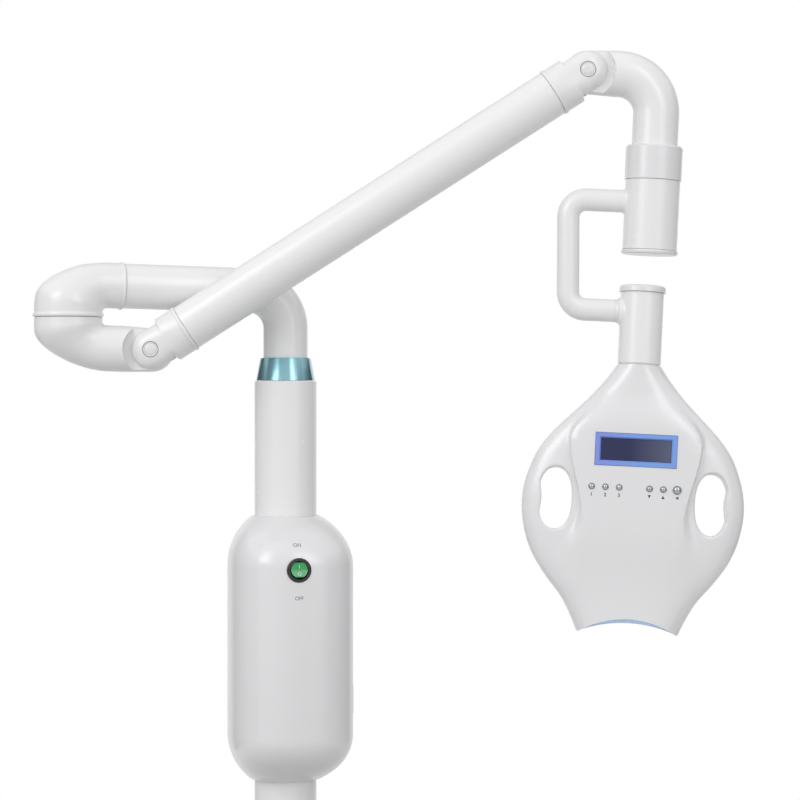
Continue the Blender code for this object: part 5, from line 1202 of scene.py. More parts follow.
def build_knuckle(name, parent, at, turn):
    """A socketed clevis: its own X axis runs from the tube to the pin."""
    spigot = MAIN_TUBE_RADIUS - MAIN_TUBE_WALL - GAP
    sleeve = -SLEEVE_START + SLEEVE_LIP_WIDTH
    ear = -SLEEVE_END + (MAIN_TUBE_RADIUS - EAR_RADIUS) / 2
    places = [sleeve, *(mixed(sleeve, -SLEEVE_END, (i + 1) / EAR_STEPS) for i in range(EAR_STEPS))]
    steps = [
        (-SLEEVE_START - KNUCKLE_SPIGOT, spigot),
        (-SLEEVE_START, spigot),
        *bead_steps(-SLEEVE_START, SLEEVE_LIP_WIDTH, MAIN_TUBE_RADIUS, SLEEVE_LIP_RISE),
    ]
    widths = ((sleeve, MAIN_TUBE_RADIUS), (0, EAR_RADIUS))
    powers = ((sleeve, 2), (0, EAR_POWER))
    steps += [(d, MAIN_TUBE_RADIUS, eased(widths, d), eased(powers, d)) for d in places]
    places = [ear * (1 - i / EAR_STEPS) for i in range(EAR_STEPS + 1)]
    steps += [(d, EAR_RADIUS, eased(widths, d), eased(powers, d)) for d in places]
    for d, r in dome_steps(0, EAR_RADIUS):
        steps.append((d, r, sqrt(r * EAR_RADIUS), EAR_POWER))
    seat = stand_on(parent, at, turn)
    knuckle = pipe(name, straight_stations((0, 0), 0, steps), parent=seat, node=True)
    half = TONGUE_THICKNESS / 2 + GAP
    slot = rod(f"{name}_slot", SLOT_RADIUS, -half, half, TUBE_FACETS, parent=seat, turn=ALONG_Y)
    wide = EAR_RADIUS + CUT_OVERRUN
    bore = rod(
        f"{name}_bore", BOLT_WAY, -wide, wide, SMALL_FACETS, parent=seat,
        turn=ALONG_Y,
    )
    recess = EAR_RADIUS - CAP_SINK - CAP_THICKNESS - GAP
    sinks = [
        rod(
            f"{name}_sink_{side}", bore_for(CAP_RADIUS, TUBE_FACETS), low, high, TUBE_FACETS,
            parent=seat, turn=ALONG_Y,
        )
        for side, low, high in (("front", -wide, -recess), ("rear", recess, wide))
    ]
    cut(knuckle, slot, bore, *sinks)
    return seat


def build_hinge_bolt(prefix, parent):
    """A bolt with its head at the back, and the cap that covers its nut in front."""
    face = EAR_RADIUS - CAP_SINK
    head = face - CAP_THICKNESS
    profile = [
        (0, face),
        (BOLT_HEAD_RADIUS, face),
        (BOLT_HEAD_RADIUS, head),
        (BOLT_RADIUS, head),
        (BOLT_RADIUS, -head + GAP),
        (0, -head + GAP),
    ]
    turned(
        prefix + "_hinge_bolt", profile, SMALL_FACETS, parent=parent,
        turn=ALONG_Y, node=True,
    )
    profile = [
        (0, face + CAP_DOME),
        (CAP_RADIUS / 2, face + CAP_DOME * CAP_CROWN_SHARE),
        (CAP_RADIUS * CAP_CROWN_SHARE - CAP_DOME, face + CAP_DOME / 2),
        (CAP_RADIUS * CAP_CROWN_SHARE, face - CAP_DOME / 3),
        (CAP_RADIUS * CAP_CROWN_SHARE + CAP_DOME / 2, face + CAP_DOME / 3),
        (CAP_RADIUS - CAP_DOME / 2, face + CAP_DOME / 3),
        (CAP_RADIUS, face - CAP_DOME),
        (CAP_RADIUS, head),
        (0, head),
    ]
    turned(
        prefix + "_hinge_cap", profile, TUBE_FACETS, parent=parent,
        turn=(radians(90), 0, 0), node=True,
    )


def build_main_arm(elbow_axis):
    lower = stand_on(elbow_axis, (HINGE_REACH, 0, -HINGE_DROP), (0, -MAIN_RISE, 0)
    )
    end_gap = SLEEVE_START + GAP
    hollow(
        "main_arm_tube", MAIN_TUBE_RADIUS - PASSING_ROOM, MAIN_TUBE_RADIUS - MAIN_TUBE_WALL,
        end_gap, MAIN_LENGTH - end_gap, TUBE_FACETS, parent=lower, turn=ALONG_X,
        node=True,
    )
    build_knuckle("arm_lower_knuckle", lower, (0, 0, 0), (0, pi, 0))
    build_knuckle("arm_upper_knuckle", lower, (MAIN_LENGTH, 0, 0), (0, 0, 0))
    build_hinge_bolt("lower", lower)
    upper = stand_on(lower, (MAIN_LENGTH, 0, 0), (0, MAIN_RISE + HANG_LEAN, 0)
    )
    build_hinge_bolt("upper", upper)
    return upper


def build_gooseneck(upper):
    swivel_top = -SWIVEL_DROP
    collar_top = swivel_top + SWIVEL_COLLAR_HEIGHT
    spigot_end = swivel_top + SWIVEL_COLLAR_SHOULDER + GAP
    corners = [
        (SHOULDER_RADIUS, -GOOSE_DROP),
        (GOOSE_REACH, -GOOSE_DROP),
        (GOOSE_REACH, spigot_end),
    ]
    tongue = [*reversed(dome_steps(0, TONGUE_RADIUS)), (0, TONGUE_RADIUS)]
    stations = [(-d, -GOOSE_DROP, 0, r) for d, r in tongue]
    stations += pipe_stations(corners, GOOSE_BEND, TUBE_RADIUS)
    goose = pipe("gooseneck", stations, parent=upper, node=True)
    past = [
        (SHOULDER_RADIUS + TUBE_WALL, -GOOSE_DROP),
        (GOOSE_REACH, -GOOSE_DROP),
        (GOOSE_REACH, spigot_end - CUT_OVERRUN),
    ]
    bore = pipe("goose_bore", pipe_stations(past, GOOSE_BEND, TUBE_BORE), parent=upper)
    cut(goose, bore, *hinge_cuts("gooseneck", upper, (0, 0, 0)))
    inner = bore_for(TUBE_RADIUS, POLE_FACETS)
    profile = [
        (COLLAR_RADIUS - SWIVEL_COLLAR_SHOULDER / 2, collar_top),
        (COLLAR_RADIUS, collar_top - SWIVEL_COLLAR_SHOULDER / 2),
        (COLLAR_RADIUS, swivel_top),
        (SHAFT_WAY, swivel_top),
        (SHAFT_WAY, swivel_top + SWIVEL_COLLAR_SHOULDER),
        (inner, swivel_top + SWIVEL_COLLAR_SHOULDER),
        (inner, collar_top),
    ]
    turned(
        "swivel_collar", profile, POLE_FACETS, closed=True, parent=upper,
        at=(GOOSE_REACH, 0, 0), node=True,
    )
    return stand_on(upper, (GOOSE_REACH, 0, -SWIVEL_DROP), (0, 0, HEAD_TURN))


def build_drop_tube(swivel):
    top = -GAP
    bottom = -DROP_LENGTH
    inner = DROP_RADIUS - DROP_WALL
    plate = top - DROP_TOP_THICKNESS
    profile = [
        (DROP_RADIUS, top),
        (DROP_RADIUS, bottom + DROP_RIM_HEIGHT),
        (inner, bottom + DROP_RIM_HEIGHT),
        (inner, plate),
        (SHAFT_WAY, plate),
        (SHAFT_WAY, top),
    ]
    tube = turned(
        "drop_tube", profile, POLE_FACETS, closed=True, parent=swivel, node=True
    )
    entry = rod(
        "handle_entry", bore_for(HANDLE_RADIUS, TUBE_FACETS), -DROP_RADIUS * 2, 0, TUBE_FACETS,
        parent=swivel, at=(0, 0, SWIVEL_DROP - HANDLE_TOP_DROP), turn=ALONG_X,
    )
    cut(tube, entry)
    rim = DROP_RADIUS + DROP_RIM_RISE
    high = bottom + DROP_RIM_HEIGHT - GAP
    profile = [
        (0, high + DROP_CAP_PLUG),
        (inner - GAP, high + DROP_CAP_PLUG),
        (inner - GAP, high),
        *round_edge(rim, high, DROP_RIM_RISE, pi / 2),
        *round_edge(rim, bottom, DROP_RIM_EDGE, 0),
        (0, bottom),
    ]
    turned("drop_tube_cap", profile, POLE_FACETS, parent=swivel, node=True)
    shaft_top = SWIVEL_COLLAR_SHOULDER
    profile = [
        (SWIVEL_FLANGE_RADIUS, shaft_top + GAP + GAP + SWIVEL_FLANGE_HEIGHT),
        (SWIVEL_FLANGE_RADIUS, shaft_top + GAP),
        (SWIVEL_SHAFT_RADIUS, shaft_top + GAP),
        (SWIVEL_SHAFT_RADIUS, plate - GAP),
        (SWIVEL_FLANGE_RADIUS, plate - GAP),
        (SWIVEL_FLANGE_RADIUS, plate - GAP - SWIVEL_FLANGE_HEIGHT),
        (SWIVEL_BORE_RADIUS, plate - GAP - SWIVEL_FLANGE_HEIGHT),
        (SWIVEL_BORE_RADIUS, shaft_top + GAP + GAP + SWIVEL_FLANGE_HEIGHT),
    ]
    turned(
        "swivel_spindle", profile, SMALL_FACETS, closed=True, parent=swivel, node=True
    )


def build_handle(swivel):
    top = SWIVEL_DROP - HANDLE_TOP_DROP
    low = top - HANDLE_HEIGHT
    start = -DROP_RADIUS + HANDLE_ENTRY
    end = -NECK_OFFSET - BOSS_REACH - GAP - TILT_COLLAR_WIDTH - GAP
    away = -DROP_RADIUS - HANDLE_FILLET
    corners = [(away, top), (-HANDLE_TOP_REACH, top), (-HANDLE_LOW_REACH, low), (end, low)]
    stations = [(start, top, pi, HANDLE_RADIUS)]
    for i in range(FILLET_STEPS):
        x = mixed(start, away, i / FILLET_STEPS)
        rise = HANDLE_FILLET * fillet_share((x - away) / HANDLE_FILLET)
        bulge = HANDLE_FILLET * min(1, max(0, (x + DROP_RADIUS) / HANDLE_ENTRY)) ** 2
        stations.append((x, top, pi, HANDLE_RADIUS + rise, HANDLE_RADIUS + bulge))
    stations += pipe_stations(corners, HANDLE_BEND, HANDLE_RADIUS)
    handle = pipe("handle_tube", stations, HANDLE_FACETS, parent=swivel, node=True)
    inner = HANDLE_RADIUS - HANDLE_WALL
    past = [(start + CUT_OVERRUN, top), *corners[1:3], (end + CUT_OVERRUN, low)]
    bore = pipe(
        "handle_bore", pipe_stations(past, HANDLE_BEND, inner), SMALL_FACETS, parent=swivel
    )
    cut(handle, bore)
    return stand_on(swivel, (-NECK_OFFSET, 0, low), (-HEAD_PITCH, 0, 0))


def build_neck(tilt):
    inner = NECK_RADIUS - NECK_WALL
    profile = [
        (NECK_RADIUS, NECK_TOP),
        (NECK_RADIUS, -NECK_BOTTOM + NECK_SEAM_EDGE),
        (NECK_RADIUS - NECK_SEAM_EDGE, -NECK_BOTTOM),
        (NECK_SPIGOT_RADIUS, -NECK_BOTTOM),
        (NECK_SPIGOT_RADIUS, -NECK_BOTTOM - NECK_SPIGOT_LENGTH),
        (inner - NECK_WALL, -NECK_BOTTOM - NECK_SPIGOT_LENGTH),
        (inner - NECK_WALL, -NECK_BOTTOM + NECK_WALL),
        (inner, -NECK_BOTTOM + NECK_WALL * 2),
        (inner, NECK_TOP),
    ]
    neck = turned("neck_tube", profile, POLE_FACETS, closed=True, parent=tilt, node=True)
    collar_end = BOSS_REACH + GAP + TILT_COLLAR_WIDTH
    flare_length = collar_end - NECK_RADIUS
    steps = []
    for i in range(FILLET_STEPS * 2 + 1):
        out = mixed(BOSS_REACH, BOSS_SIDE_DEPTH, i / (FILLET_STEPS * 2))
        rise = BOSS_FILLET_RISE * fillet_share((collar_end - out) / flare_length)
        start = BOSS_FILLET_RISE * fillet_share((collar_end - BOSS_REACH) / flare_length)
        into = (BOSS_REACH - out) / (BOSS_REACH - BOSS_SIDE_DEPTH)
        steps.append((-out, BOSS_RADIUS + rise, BOSS_RADIUS + start + BOSS_SIDE_RISE * into**2))
    boss = pipe("neck_boss", straight_stations((0, 0), 0, steps), parent=tilt)
    boss_room = rod(
        "neck_room", inner, -NECK_TOP - CUT_OVERRUN, NECK_TOP - GAP, POLE_FACETS, parent=tilt,
    )
    pin_way = rod(
        "tilt_pin_way", bore_for(TILT_PIN_RADIUS, SMALL_FACETS), -BOSS_REACH - CUT_OVERRUN, 0, SMALL_FACETS,
        parent=tilt, turn=ALONG_X,
    )
    cut(neck, boss, operation="UNION")
    cut(neck, boss_room, pin_way)
    collar_low = -BOSS_REACH - GAP - TILT_COLLAR_WIDTH
    pin_bore = bore_for(TILT_PIN_RADIUS, TUBE_FACETS)
    collar_high = -BOSS_REACH - TILT_COLLAR_SLIT
    places = [mixed(collar_high, collar_low - GAP, i / FILLET_STEPS) for i in range(FILLET_STEPS + 1)]
    profile = [
        (BOSS_RADIUS + BOSS_FILLET_RISE * fillet_share((x - collar_low) / flare_length), x)
        for x in places
    ]
    profile += [(pin_bore, collar_low - GAP), (pin_bore, collar_high)]
    turned(
        "tilt_collar", profile, TUBE_FACETS, closed=True, parent=tilt, turn=ALONG_X, node=True
    )
    pin_end = collar_low - GAP - TILT_PIN_GRIP
    head_low = -sqrt(inner**2 - TILT_PIN_HEAD_RADIUS**2) + GAP
    profile = [
        (0, head_low + TILT_PIN_HEAD_WIDTH),
        (TILT_PIN_HEAD_RADIUS, head_low + TILT_PIN_HEAD_WIDTH),
        (TILT_PIN_HEAD_RADIUS, head_low),
        (TILT_PIN_RADIUS, head_low),
        (TILT_PIN_RADIUS, pin_end),
        (0, pin_end),
    ]
    turned("tilt_pin", profile, SMALL_FACETS, parent=tilt, turn=ALONG_X, node=True)
    low = NECK_TOP + GAP
    high = low + NECK_CAP_HEIGHT
    wide = NECK_RADIUS + NECK_CAP_RISE
    profile = [
        (0, high + NECK_CAP_DOME),
        (wide / 2, high + NECK_CAP_DOME * CAP_CROWN_SHARE),
        *round_edge(wide, high, NECK_CAP_EDGE, pi / 2),
        (wide, low),
        (inner - GAP, low),
        (inner - GAP, low - NECK_CAP_PLUG + GAP),
        (0, low - NECK_CAP_PLUG + GAP),
    ]
    turned("neck_cap", profile, POLE_FACETS, parent=tilt, node=True)


def head_half_width(share, inset):
    return HEAD_HALF_WIDTH * through(HEAD_OUTLINE_SHARES, share) - inset


def head_crease(share):
    """Half the width of the raised middle panel."""
    return HEAD_HALF_WIDTH * through(CREASE_SHARES, share)


def crease_width(share):
    """Sharp beside the display and buttons, and soft where the panel fades out."""
    return mixed(CREASE_WIDTH, CREASE_SOFT_WIDTH, eased(CREASE_SOFT_SHARES, share))


def head_power(share):
    """The section's exponent: round at the neck, fuller further down."""
    return mixed(2, HEAD_EDGE_POWER, min(1, share / ROUND_NECK_SHARE))


def head_depth(share, x, inset, front):
    """How far the head's surface stands from its parting plane."""
    table = FRONT_DEPTHS if front else REAR_DEPTHS
    deep = eased(table, share) - inset
    half = head_half_width(share, inset)
    power = head_power(share)
    wing = deep * max(0, 1 - min(1, abs(x) / half) ** power) ** (1 / power)
    rise, shares = (PANEL_RISE, PANEL_SHARES) if front else (HUMP_RISE, HUMP_SHARES)
    outside = (abs(x) - head_crease(share)) / crease_width(share) + MIDDLE_SHARE
    outside = min(1, max(0, outside))
    return wing + rise * eased(shares, share) * eased(((0, 1), (1, 0)), outside)


def head_ring(share, inset):
    """A head section: wings, creases and the raised middle, front and rear."""
    z = mixed(HEAD_TOP, HEAD_BOTTOM, share)
    half = head_half_width(share, inset)
    power = head_power(share)
    width = min(crease_width(share), head_crease(share))
    outer_x = min(head_crease(share) + width / 2, half * WING_START_SHARE)
    inner_x = head_crease(share) - width / 2
    last_step = sqrt(1 - (outer_x / half) ** power)
    steps = [last_step * k / WING_POINTS for k in range(WING_POINTS + 1)]
    places = [half * (1 - step**2) ** (1 / power) for step in steps]
    places += [mixed(outer_x, inner_x, k / CREASE_POINTS) for k in range(1, CREASE_POINTS)]
    places += [inner_x * (1 - k / PANEL_POINTS) for k in range(PANEL_POINTS + 1)]
    right = [(x, -head_depth(share, x, inset, True)) for x in places]
    front = right + [(-x, y) for x, y in reversed(right[:-1])]
    rear = [(x, head_depth(share, x, inset, False)) for x, _ in reversed(front[1:-1])]
    return [(x, y, z) for x, y in front + rear]


def head_solid(name, **placing):
    shares = [i / (HEAD_RINGS - 1) for i in range(HEAD_RINGS)]
    return lofted(name, [head_ring(share, 0) for share in shares], **placing)


def head_room(name, inset, **placing):
    """The room inside the head, from under the neck's spigot to past the mouth."""
    steps = [i / (CAVITY_RINGS - 1) for i in range(CAVITY_RINGS)]
    shares = [mixed(CAVITY_FIRST_SHARE, CAVITY_LAST_SHARE, step) for step in steps]
    return lofted(name, [head_ring(share, inset) for share in shares], **placing)


def grip_outline(margin):
    """A tall rounded hole with a finger bump on its outer edge, around its own centre."""
    outline = []
    for i in range(GRIP_POINTS):
        angle = 2 * pi * i / GRIP_POINTS
        c, s = cos(angle), sin(angle)
        x = GRIP_HALF_WIDTH * abs(c) ** (2 / GRIP_POWER) * (1 if c > 0 else -1)
        z = GRIP_HALF_HEIGHT * abs(s) ** (2 / GRIP_POWER) * (1 if s > 0 else -1)
        if x > 0:
            x -= GRIP_BUMP * cos(pi / 2 * min(1, abs(z) / (GRIP_HALF_HEIGHT / 2)))
        length = hypot(x, z)
        outline.append((x * (1 + margin / length), z * (1 + margin / length)))
    return outline


def grip_tools(tilt, name, margin, edge=0.0):
    """Two tools for the grip holes, flared at both ends where the hole's edge is rounded."""
    reach = HEAD_REAR_DEPTH + HUMP_RISE + CUT_OVERRUN
    z = mixed(HEAD_TOP, HEAD_BOTTOM, GRIP_PLACE_SHARE)
    centre = GRIP_CENTRE_SHARE * HEAD_HALF_WIDTH
    angles = [pi / 2 * (1 - i / GRIP_EDGE_STEPS) for i in range(GRIP_EDGE_STEPS + 1)]
    levels = [(edge * (1 - cos(a)), edge * (1 - sin(a))) for a in angles] if edge else []
    tools = []
    for side, sign in (("left", -1), ("right", 1)):
        wide = grip_outline(margin + edge + GRIP_FLARE if edge else margin)
        rings = [[(sign * x, -reach, dz) for x, dz in wide]]
        for front in (True, False):
            facing = -1 if front else 1
            for out, deep in levels if front else reversed(levels):
                ring = []
                for x, dz in grip_outline(margin + out):
                    share = head_place(-z - dz)
                    ring.append((sign * x, facing * (head_depth(share, centre + x, 0, front) - deep), dz))
                rings.append(ring)
        rings.append([(sign * x, reach, dz) for x, dz in wide])
        at = (sign * centre, 0, z)
        tools.append(lofted(f"{name}_{side}", rings, parent=tilt, at=at))
    return tools


def button_places():
    """Name, x and radius of each button."""
    places = []
    for i in range(3):
        places.append((f"button_left_{3 - i}", -BUTTON_FIRST - BUTTON_PITCH * i, BUTTON_RADIUS))
    for i in range(2):
        places.append((f"button_right_{i + 1}", BUTTON_FIRST + BUTTON_PITCH * i, BUTTON_RADIUS))
    places.append(("button_start", BUTTON_FIRST + BUTTON_PITCH * 2, START_BUTTON_RADIUS))
    return places


def button_surface(x):
    return head_depth(head_place(BUTTON_DROP), x, 0, True)


def head_cutters(tilt):
    """The shared tools that hollow and open both shells."""
    room = head_room("head_room", HEAD_WALL, parent=tilt)
    cut(room, *grip_tools(tilt, "grip_wall", HEAD_WALL))
    neck_way = rod(
        "neck_way", NECK_SPIGOT_RADIUS + GAP,
        -NECK_BOTTOM - NECK_SPIGOT_LENGTH - NECK_WALL - CUT_OVERRUN, 0, POLE_FACETS,
        parent=tilt,
    )
    deep = HEAD_MOUTH_DEPTH + HUMP_RISE + CUT_OVERRUN
    mouth = rod(
        "mouth_arc", MOUTH_RADIUS, -deep, deep, MOUTH_FACETS, parent=tilt, at=(0, 0, MOUTH_AXIS),
        turn=ALONG_Y,
    )
    return [room, neck_way, mouth, *grip_tools(tilt, "grip_hole", 0, HEAD_WALL)]


def build_head(tilt):
    tools = head_cutters(tilt)
    far = PANEL_FRONT + HUMP_RISE + CUT_OVERRUN
    wide = HEAD_HALF_WIDTH + CUT_OVERRUN
    low, high = HEAD_BOTTOM - CUT_OVERRUN, HEAD_TOP + CUT_OVERRUN
    behind = block(
        "behind_parting", (-wide, -GAP / 2, low), (wide, far, high), parent=tilt
    )
    before = block(
        "before_parting", (-wide, -far, low), (wide, GAP / 2, high), parent=tilt
    )
    front = head_solid("head_front_shell", parent=tilt, node=True)
    cut(front, *tools, behind)
    cut(front, *front_openings(tilt, far))
    rear = head_solid("head_rear_shell", parent=tilt, node=True)
    cut(rear, *tools, before)
    cut(rear, *rear_vents(tilt, far))
    build_display(tilt)
    build_buttons(tilt)
    build_light(tilt)


def front_openings(tilt, far):
    half_x, half_z = DISPLAY_WIDTH / 2 + GAP, DISPLAY_HEIGHT / 2 + GAP
    back = -HEAD_FRONT_DEPTH + HEAD_WALL
    tools = [
        block(
            "display_way", (-half_x, -far, -DISPLAY_DROP - half_z),
            (half_x, back, -DISPLAY_DROP + half_z), parent=tilt,
        )
    ]
    for name, x, radius in button_places():
        tools.append(
            rod(
                name + "_way", radius + GAP, -back, far, SMALL_FACETS, parent=tilt,
                at=(x, 0, -BUTTON_DROP), turn=(radians(90), 0, 0),
            )
        )
    return tools


def rear_vents(tilt, far):
    tools = []
    for i in range(VENT_COUNT):
        z = -VENT_DROP + VENT_PITCH * (i - (VENT_COUNT - 1) / 2)
        tools.append(
            block(
                f"vent_{i + 1}", (-VENT_LENGTH / 2, HEAD_REAR_DEPTH, z - VENT_WIDTH / 2),
                (VENT_LENGTH / 2, far, z + VENT_WIDTH / 2), parent=tilt,
            )
        )
    return tools


def build_display(tilt):
    holder = stand_on(tilt, (0, -PANEL_FRONT, -DISPLAY_DROP))
    half_x, half_z = DISPLAY_WIDTH / 2, DISPLAY_HEIGHT / 2
    rim = block(
        "lcd_frame", (-half_x, -DISPLAY_PROUD, -half_z), (half_x, FRAME_DEPTH, half_z),
        parent=holder, node=True,
    )
    open_x, open_z = half_x - FRAME_BORDER_X, half_z - FRAME_BORDER_Z
    depths = (
        (-DISPLAY_PROUD - GAP, GLASS_SINK + GAP),
        (GLASS_SINK, 0),
        (FRAME_DEPTH + CUT_OVERRUN, 0),
    )
    rings = [
        [(sx * (open_x + out), y, sz * (open_z + out)) for sx, sz in CORNER_SIGNS]
        for y, out in depths
    ]
    window = lofted("frame_window", rings, parent=holder)
    cut(rim, window)
    glass = block(
        "lcd_panel", (-open_x + GAP, GLASS_SINK, -open_z + GAP),
        (open_x - GAP, FRAME_DEPTH + PANEL_DEPTH, open_z - GAP), parent=holder, node=True,
    )
    back_x, back_z = half_x + PANEL_MARGIN, half_z + PANEL_MARGIN
    module = block(
        "lcd_module_back", (-back_x, FRAME_DEPTH + GAP, -back_z),
        (back_x, FRAME_DEPTH + PANEL_DEPTH + GAP, back_z), parent=holder,
    )
    cut(glass, module, operation="UNION")
    block(
        "control_board", (-BOARD_WIDTH / 2, -BOARD_FRONT, -BOARD_TOP - BOARD_HEIGHT),
        (BOARD_WIDTH / 2, -BOARD_FRONT + BOARD_THICKNESS, -BOARD_TOP), parent=tilt,
        node=True,
    )


def build_buttons(tilt):
    """Domed buttons, each held behind the wall by its flange."""
    for name, x, radius in button_places():
        surface = button_surface(x)
        proud = BUTTON_PROUD * radius / BUTTON_RADIUS
        wall_back = HEAD_FRONT_DEPTH + PANEL_RISE - HEAD_WALL - HEAD_WALL / 2
        stem_end = BOARD_FRONT + BUTTON_TRAVEL + GAP
        angles = [pi / 2 * (1 - i / BUTTON_DOME_STEPS) for i in range(BUTTON_DOME_STEPS + 1)]
        profile = [(radius * cos(a), surface + proud * sin(a)) for a in angles]
        profile[0] = (0, surface + proud)
        profile += [
            (radius, wall_back),
            (radius + BUTTON_FLANGE_STEP, wall_back),
            (radius + BUTTON_FLANGE_STEP, wall_back - BUTTON_FLANGE_HEIGHT),
            (radius * BUTTON_STEM_SHARE, wall_back - BUTTON_FLANGE_HEIGHT),
            (radius * BUTTON_STEM_SHARE, stem_end),
            (0, stem_end),
        ]
        turned(
            name, profile, SMALL_FACETS, parent=tilt, at=(x, 0, -BUTTON_DROP),
            turn=(radians(90), 0, 0), node=True,
        )


def build_light(tilt):
    """The lens above the mouth."""
    outer = MOUTH_RADIUS + LENS_RECESS + LENS_THICKNESS
    deep = HEAD_MOUTH_DEPTH + HUMP_RISE
    lens = head_room("mouth_lens", HEAD_WALL + GAP, parent=tilt, node=True)
    sagitta = MOUTH_AXIS + sqrt(MOUTH_RADIUS**2 - LENS_HALF_WIDTH**2)
    sagitta = HEAD_BOTTOM + MOUTH_RISE - LENS_BULGE - sagitta
    flatter = (LENS_HALF_WIDTH**2 + sagitta**2) / (2 * sagitta)
    inner_arc = rod(
        "lens_inner_arc", flatter, -deep, deep, MOUTH_FACETS, parent=tilt,
        at=(0, 0, HEAD_BOTTOM + MOUTH_RISE - LENS_BULGE - flatter), turn=ALONG_Y,
    )
    outer_arc = rod(
        "lens_outer_arc", outer, -deep, deep, MOUTH_FACETS, parent=tilt, at=(0, 0, MOUTH_AXIS),
        turn=ALONG_Y,
    )
    cut(lens, outer_arc, operation="INTERSECT")
    cut(lens, inner_arc)


# Materials
def linear(colour):
    """An sRGB hex colour as the linear values that a shader takes."""
    parts = [int(colour[i : i + 2], 16) / 255 for i in (1, 3, 5)]
    return [v / 12.92 if v <= 0.04045 else ((v + 0.055) / 1.055) ** 2.4 for v in parts] + [1]


def add(tree, kind, settings=(), inputs=()):
    """A node with its settings, and its inputs linked to sockets or set to values."""
    made = tree.nodes.new("ShaderNode" + kind)
    for key, value in dict(settings).items():
        setattr(made, key, value)
    for key, value in dict(inputs).items():
        if isinstance(value, bpy.types.NodeSocket):
            tree.links.new(value, made.inputs[key])
        else:
            made.inputs[key].default_value = value
    return made


def blank_material(name):
    """A material with a Principled shader, and the object's own coordinates in metres."""
    material = bpy.data.materials.new(name)
    material.use_nodes = True
    tree = material.node_tree
    tree.nodes.clear()
    shader = add(tree, "BsdfPrincipled")
    add(tree, "OutputMaterial", inputs={"Surface": shader.outputs[0]})
    place_at = add(tree, "TexCoord").outputs["Object"]
    return material, tree, shader, place_at


def per_metre(millimetres):
    """A pattern scale whose features are that far apart."""
    return MILLIMETRES_IN_METRE / millimetres


def surface(
    name, colour, shade, roughness, relief_mm, depth_mm, drift_mm=60, dull=0.015, across=None,
    **sockets
):
    """A made surface. Its colour drifts towards the shade, or turns to it across two places along X.

    Handling dulls its gloss in patches, and a relief of that spacing and depth breaks up its
    highlights.
    """
    material, tree, shader, place_at = blank_material(name)
    drift = add(
        tree, "TexNoise", inputs={"Vector": place_at, "Scale": per_metre(drift_mm), "Detail": 3.0}
    )
    share = drift.outputs["Fac"]
    if across:
        along = add(tree, "SeparateXYZ", inputs={0: place_at})
        share = add(
            tree, "MapRange",
            inputs={"Value": along.outputs["X"], "From Min": across[0], "From Max": across[1]},
        ).outputs[0]
    tint = add(
        tree, "Mix", {"data_type": "RGBA"}, {0: share, 6: linear(colour), 7: linear(shade)}
    )
    handling = add(
        tree, "TexNoise", inputs={"Vector": place_at, "Scale": per_metre(18), "Detail": 4.0}
    )
    gloss = add(
        tree, "MapRange", inputs={
            "Value": handling.outputs["Fac"], "From Min": 0.35, "From Max": 0.7,
            "To Min": roughness, "To Max": roughness + dull,
        },
    )
    relief = add(
        tree, "TexNoise", inputs={"Vector": place_at, "Scale": per_metre(relief_mm), "Detail": 2.0}
    )
    bump = add(
        tree, "Bump", inputs={
            "Height": relief.outputs["Fac"], "Strength": 1.0,
            "Distance": depth_mm / MILLIMETRES_IN_METRE,
        },
    )
    tree.links.new(tint.outputs[2], shader.inputs["Base Color"])
    tree.links.new(gloss.outputs[0], shader.inputs["Roughness"])
    tree.links.new(bump.outputs[0], shader.inputs["Normal"])
    for socket, value in sockets.items():
        shader.inputs[socket.replace("_", " ").title().replace("Ior", "IOR")].default_value = value
    return material


MILLIMETRES_IN_METRE = 1000
# Gloss ABS, injection moulded: a faint ripple from the mould's polish, and a soft even gloss
GLOSS_ABS = surface("gloss_abs_moulded", "#E6E6E7", "#E4E4E6", 0.24, 7, 0.010, drift_mm=400, dull=0.006, ior=1.54)
# Gloss lacquer on steel tube: slight orange peel over drawn tube
LACQUERED_TUBE = surface("gloss_lacquer_on_tube", "#EEEEEE", "#ECECED", 0.27, 3, 0.002, drift_mm=400, dull=0.004, ior=1.5)
# Gloss lacquer on die-cast aluminium: a little heavier peel where the paint pools
LACQUERED_CASTING = surface("gloss_lacquer_on_casting", "#EBEBEB", "#E9E9EA", 0.30, 4, 0.004, drift_mm=400, dull=0.004, ior=1.5)
# Gloss lacquer on cast iron: the sand's grain shows through as low waves
LACQUERED_IRON = surface("gloss_lacquer_on_iron", "#E6E6E7", "#DCDCDE", 0.30, 5, 0.030, ior=1.5)
# Chrome plate over polished steel: clear reflections, slightly blue
CHROME = surface("chrome_plate", "#D9DCE0", "#CFD3D8", 0.06, 9, 0.002, metallic=1)
# Chrome plate on moulded plastic: softer than on steel
CHROMED_PLASTIC = surface("chrome_on_plastic", "#B4B7BB", "#9C9FA3", 0.24, 2, 0.002, metallic=1)
# Aluminium turned on a lathe, anodised teal and sealed: the fine turning marks draw its reflections
# upright, and the clear seal keeps their brightest places nearly white
TEAL_ANODISE = surface(
    "teal_anodised_aluminium", "#98C9D6", "#88BECC", 0.32, 1, 0.001, drift_mm=25, metallic=1,
    anisotropic=0.98, anisotropic_rotation=0.25, coat_weight=1.0, coat_roughness=0.12,
)
# Zinc-plated steel: grey with soft cloudy patches
ZINC_STEEL = surface("zinc_plated_steel", "#B4B6B8", "#9EA1A4", 0.30, 1.2, 0.004, drift_mm=12, metallic=1)
# Bare extruded aluminium: satin, pale
BARE_ALUMINIUM = surface("bare_aluminium", "#C6C8CB", "#B4B7BB", 0.36, 0.8, 0.006, drift_mm=15, metallic=1)
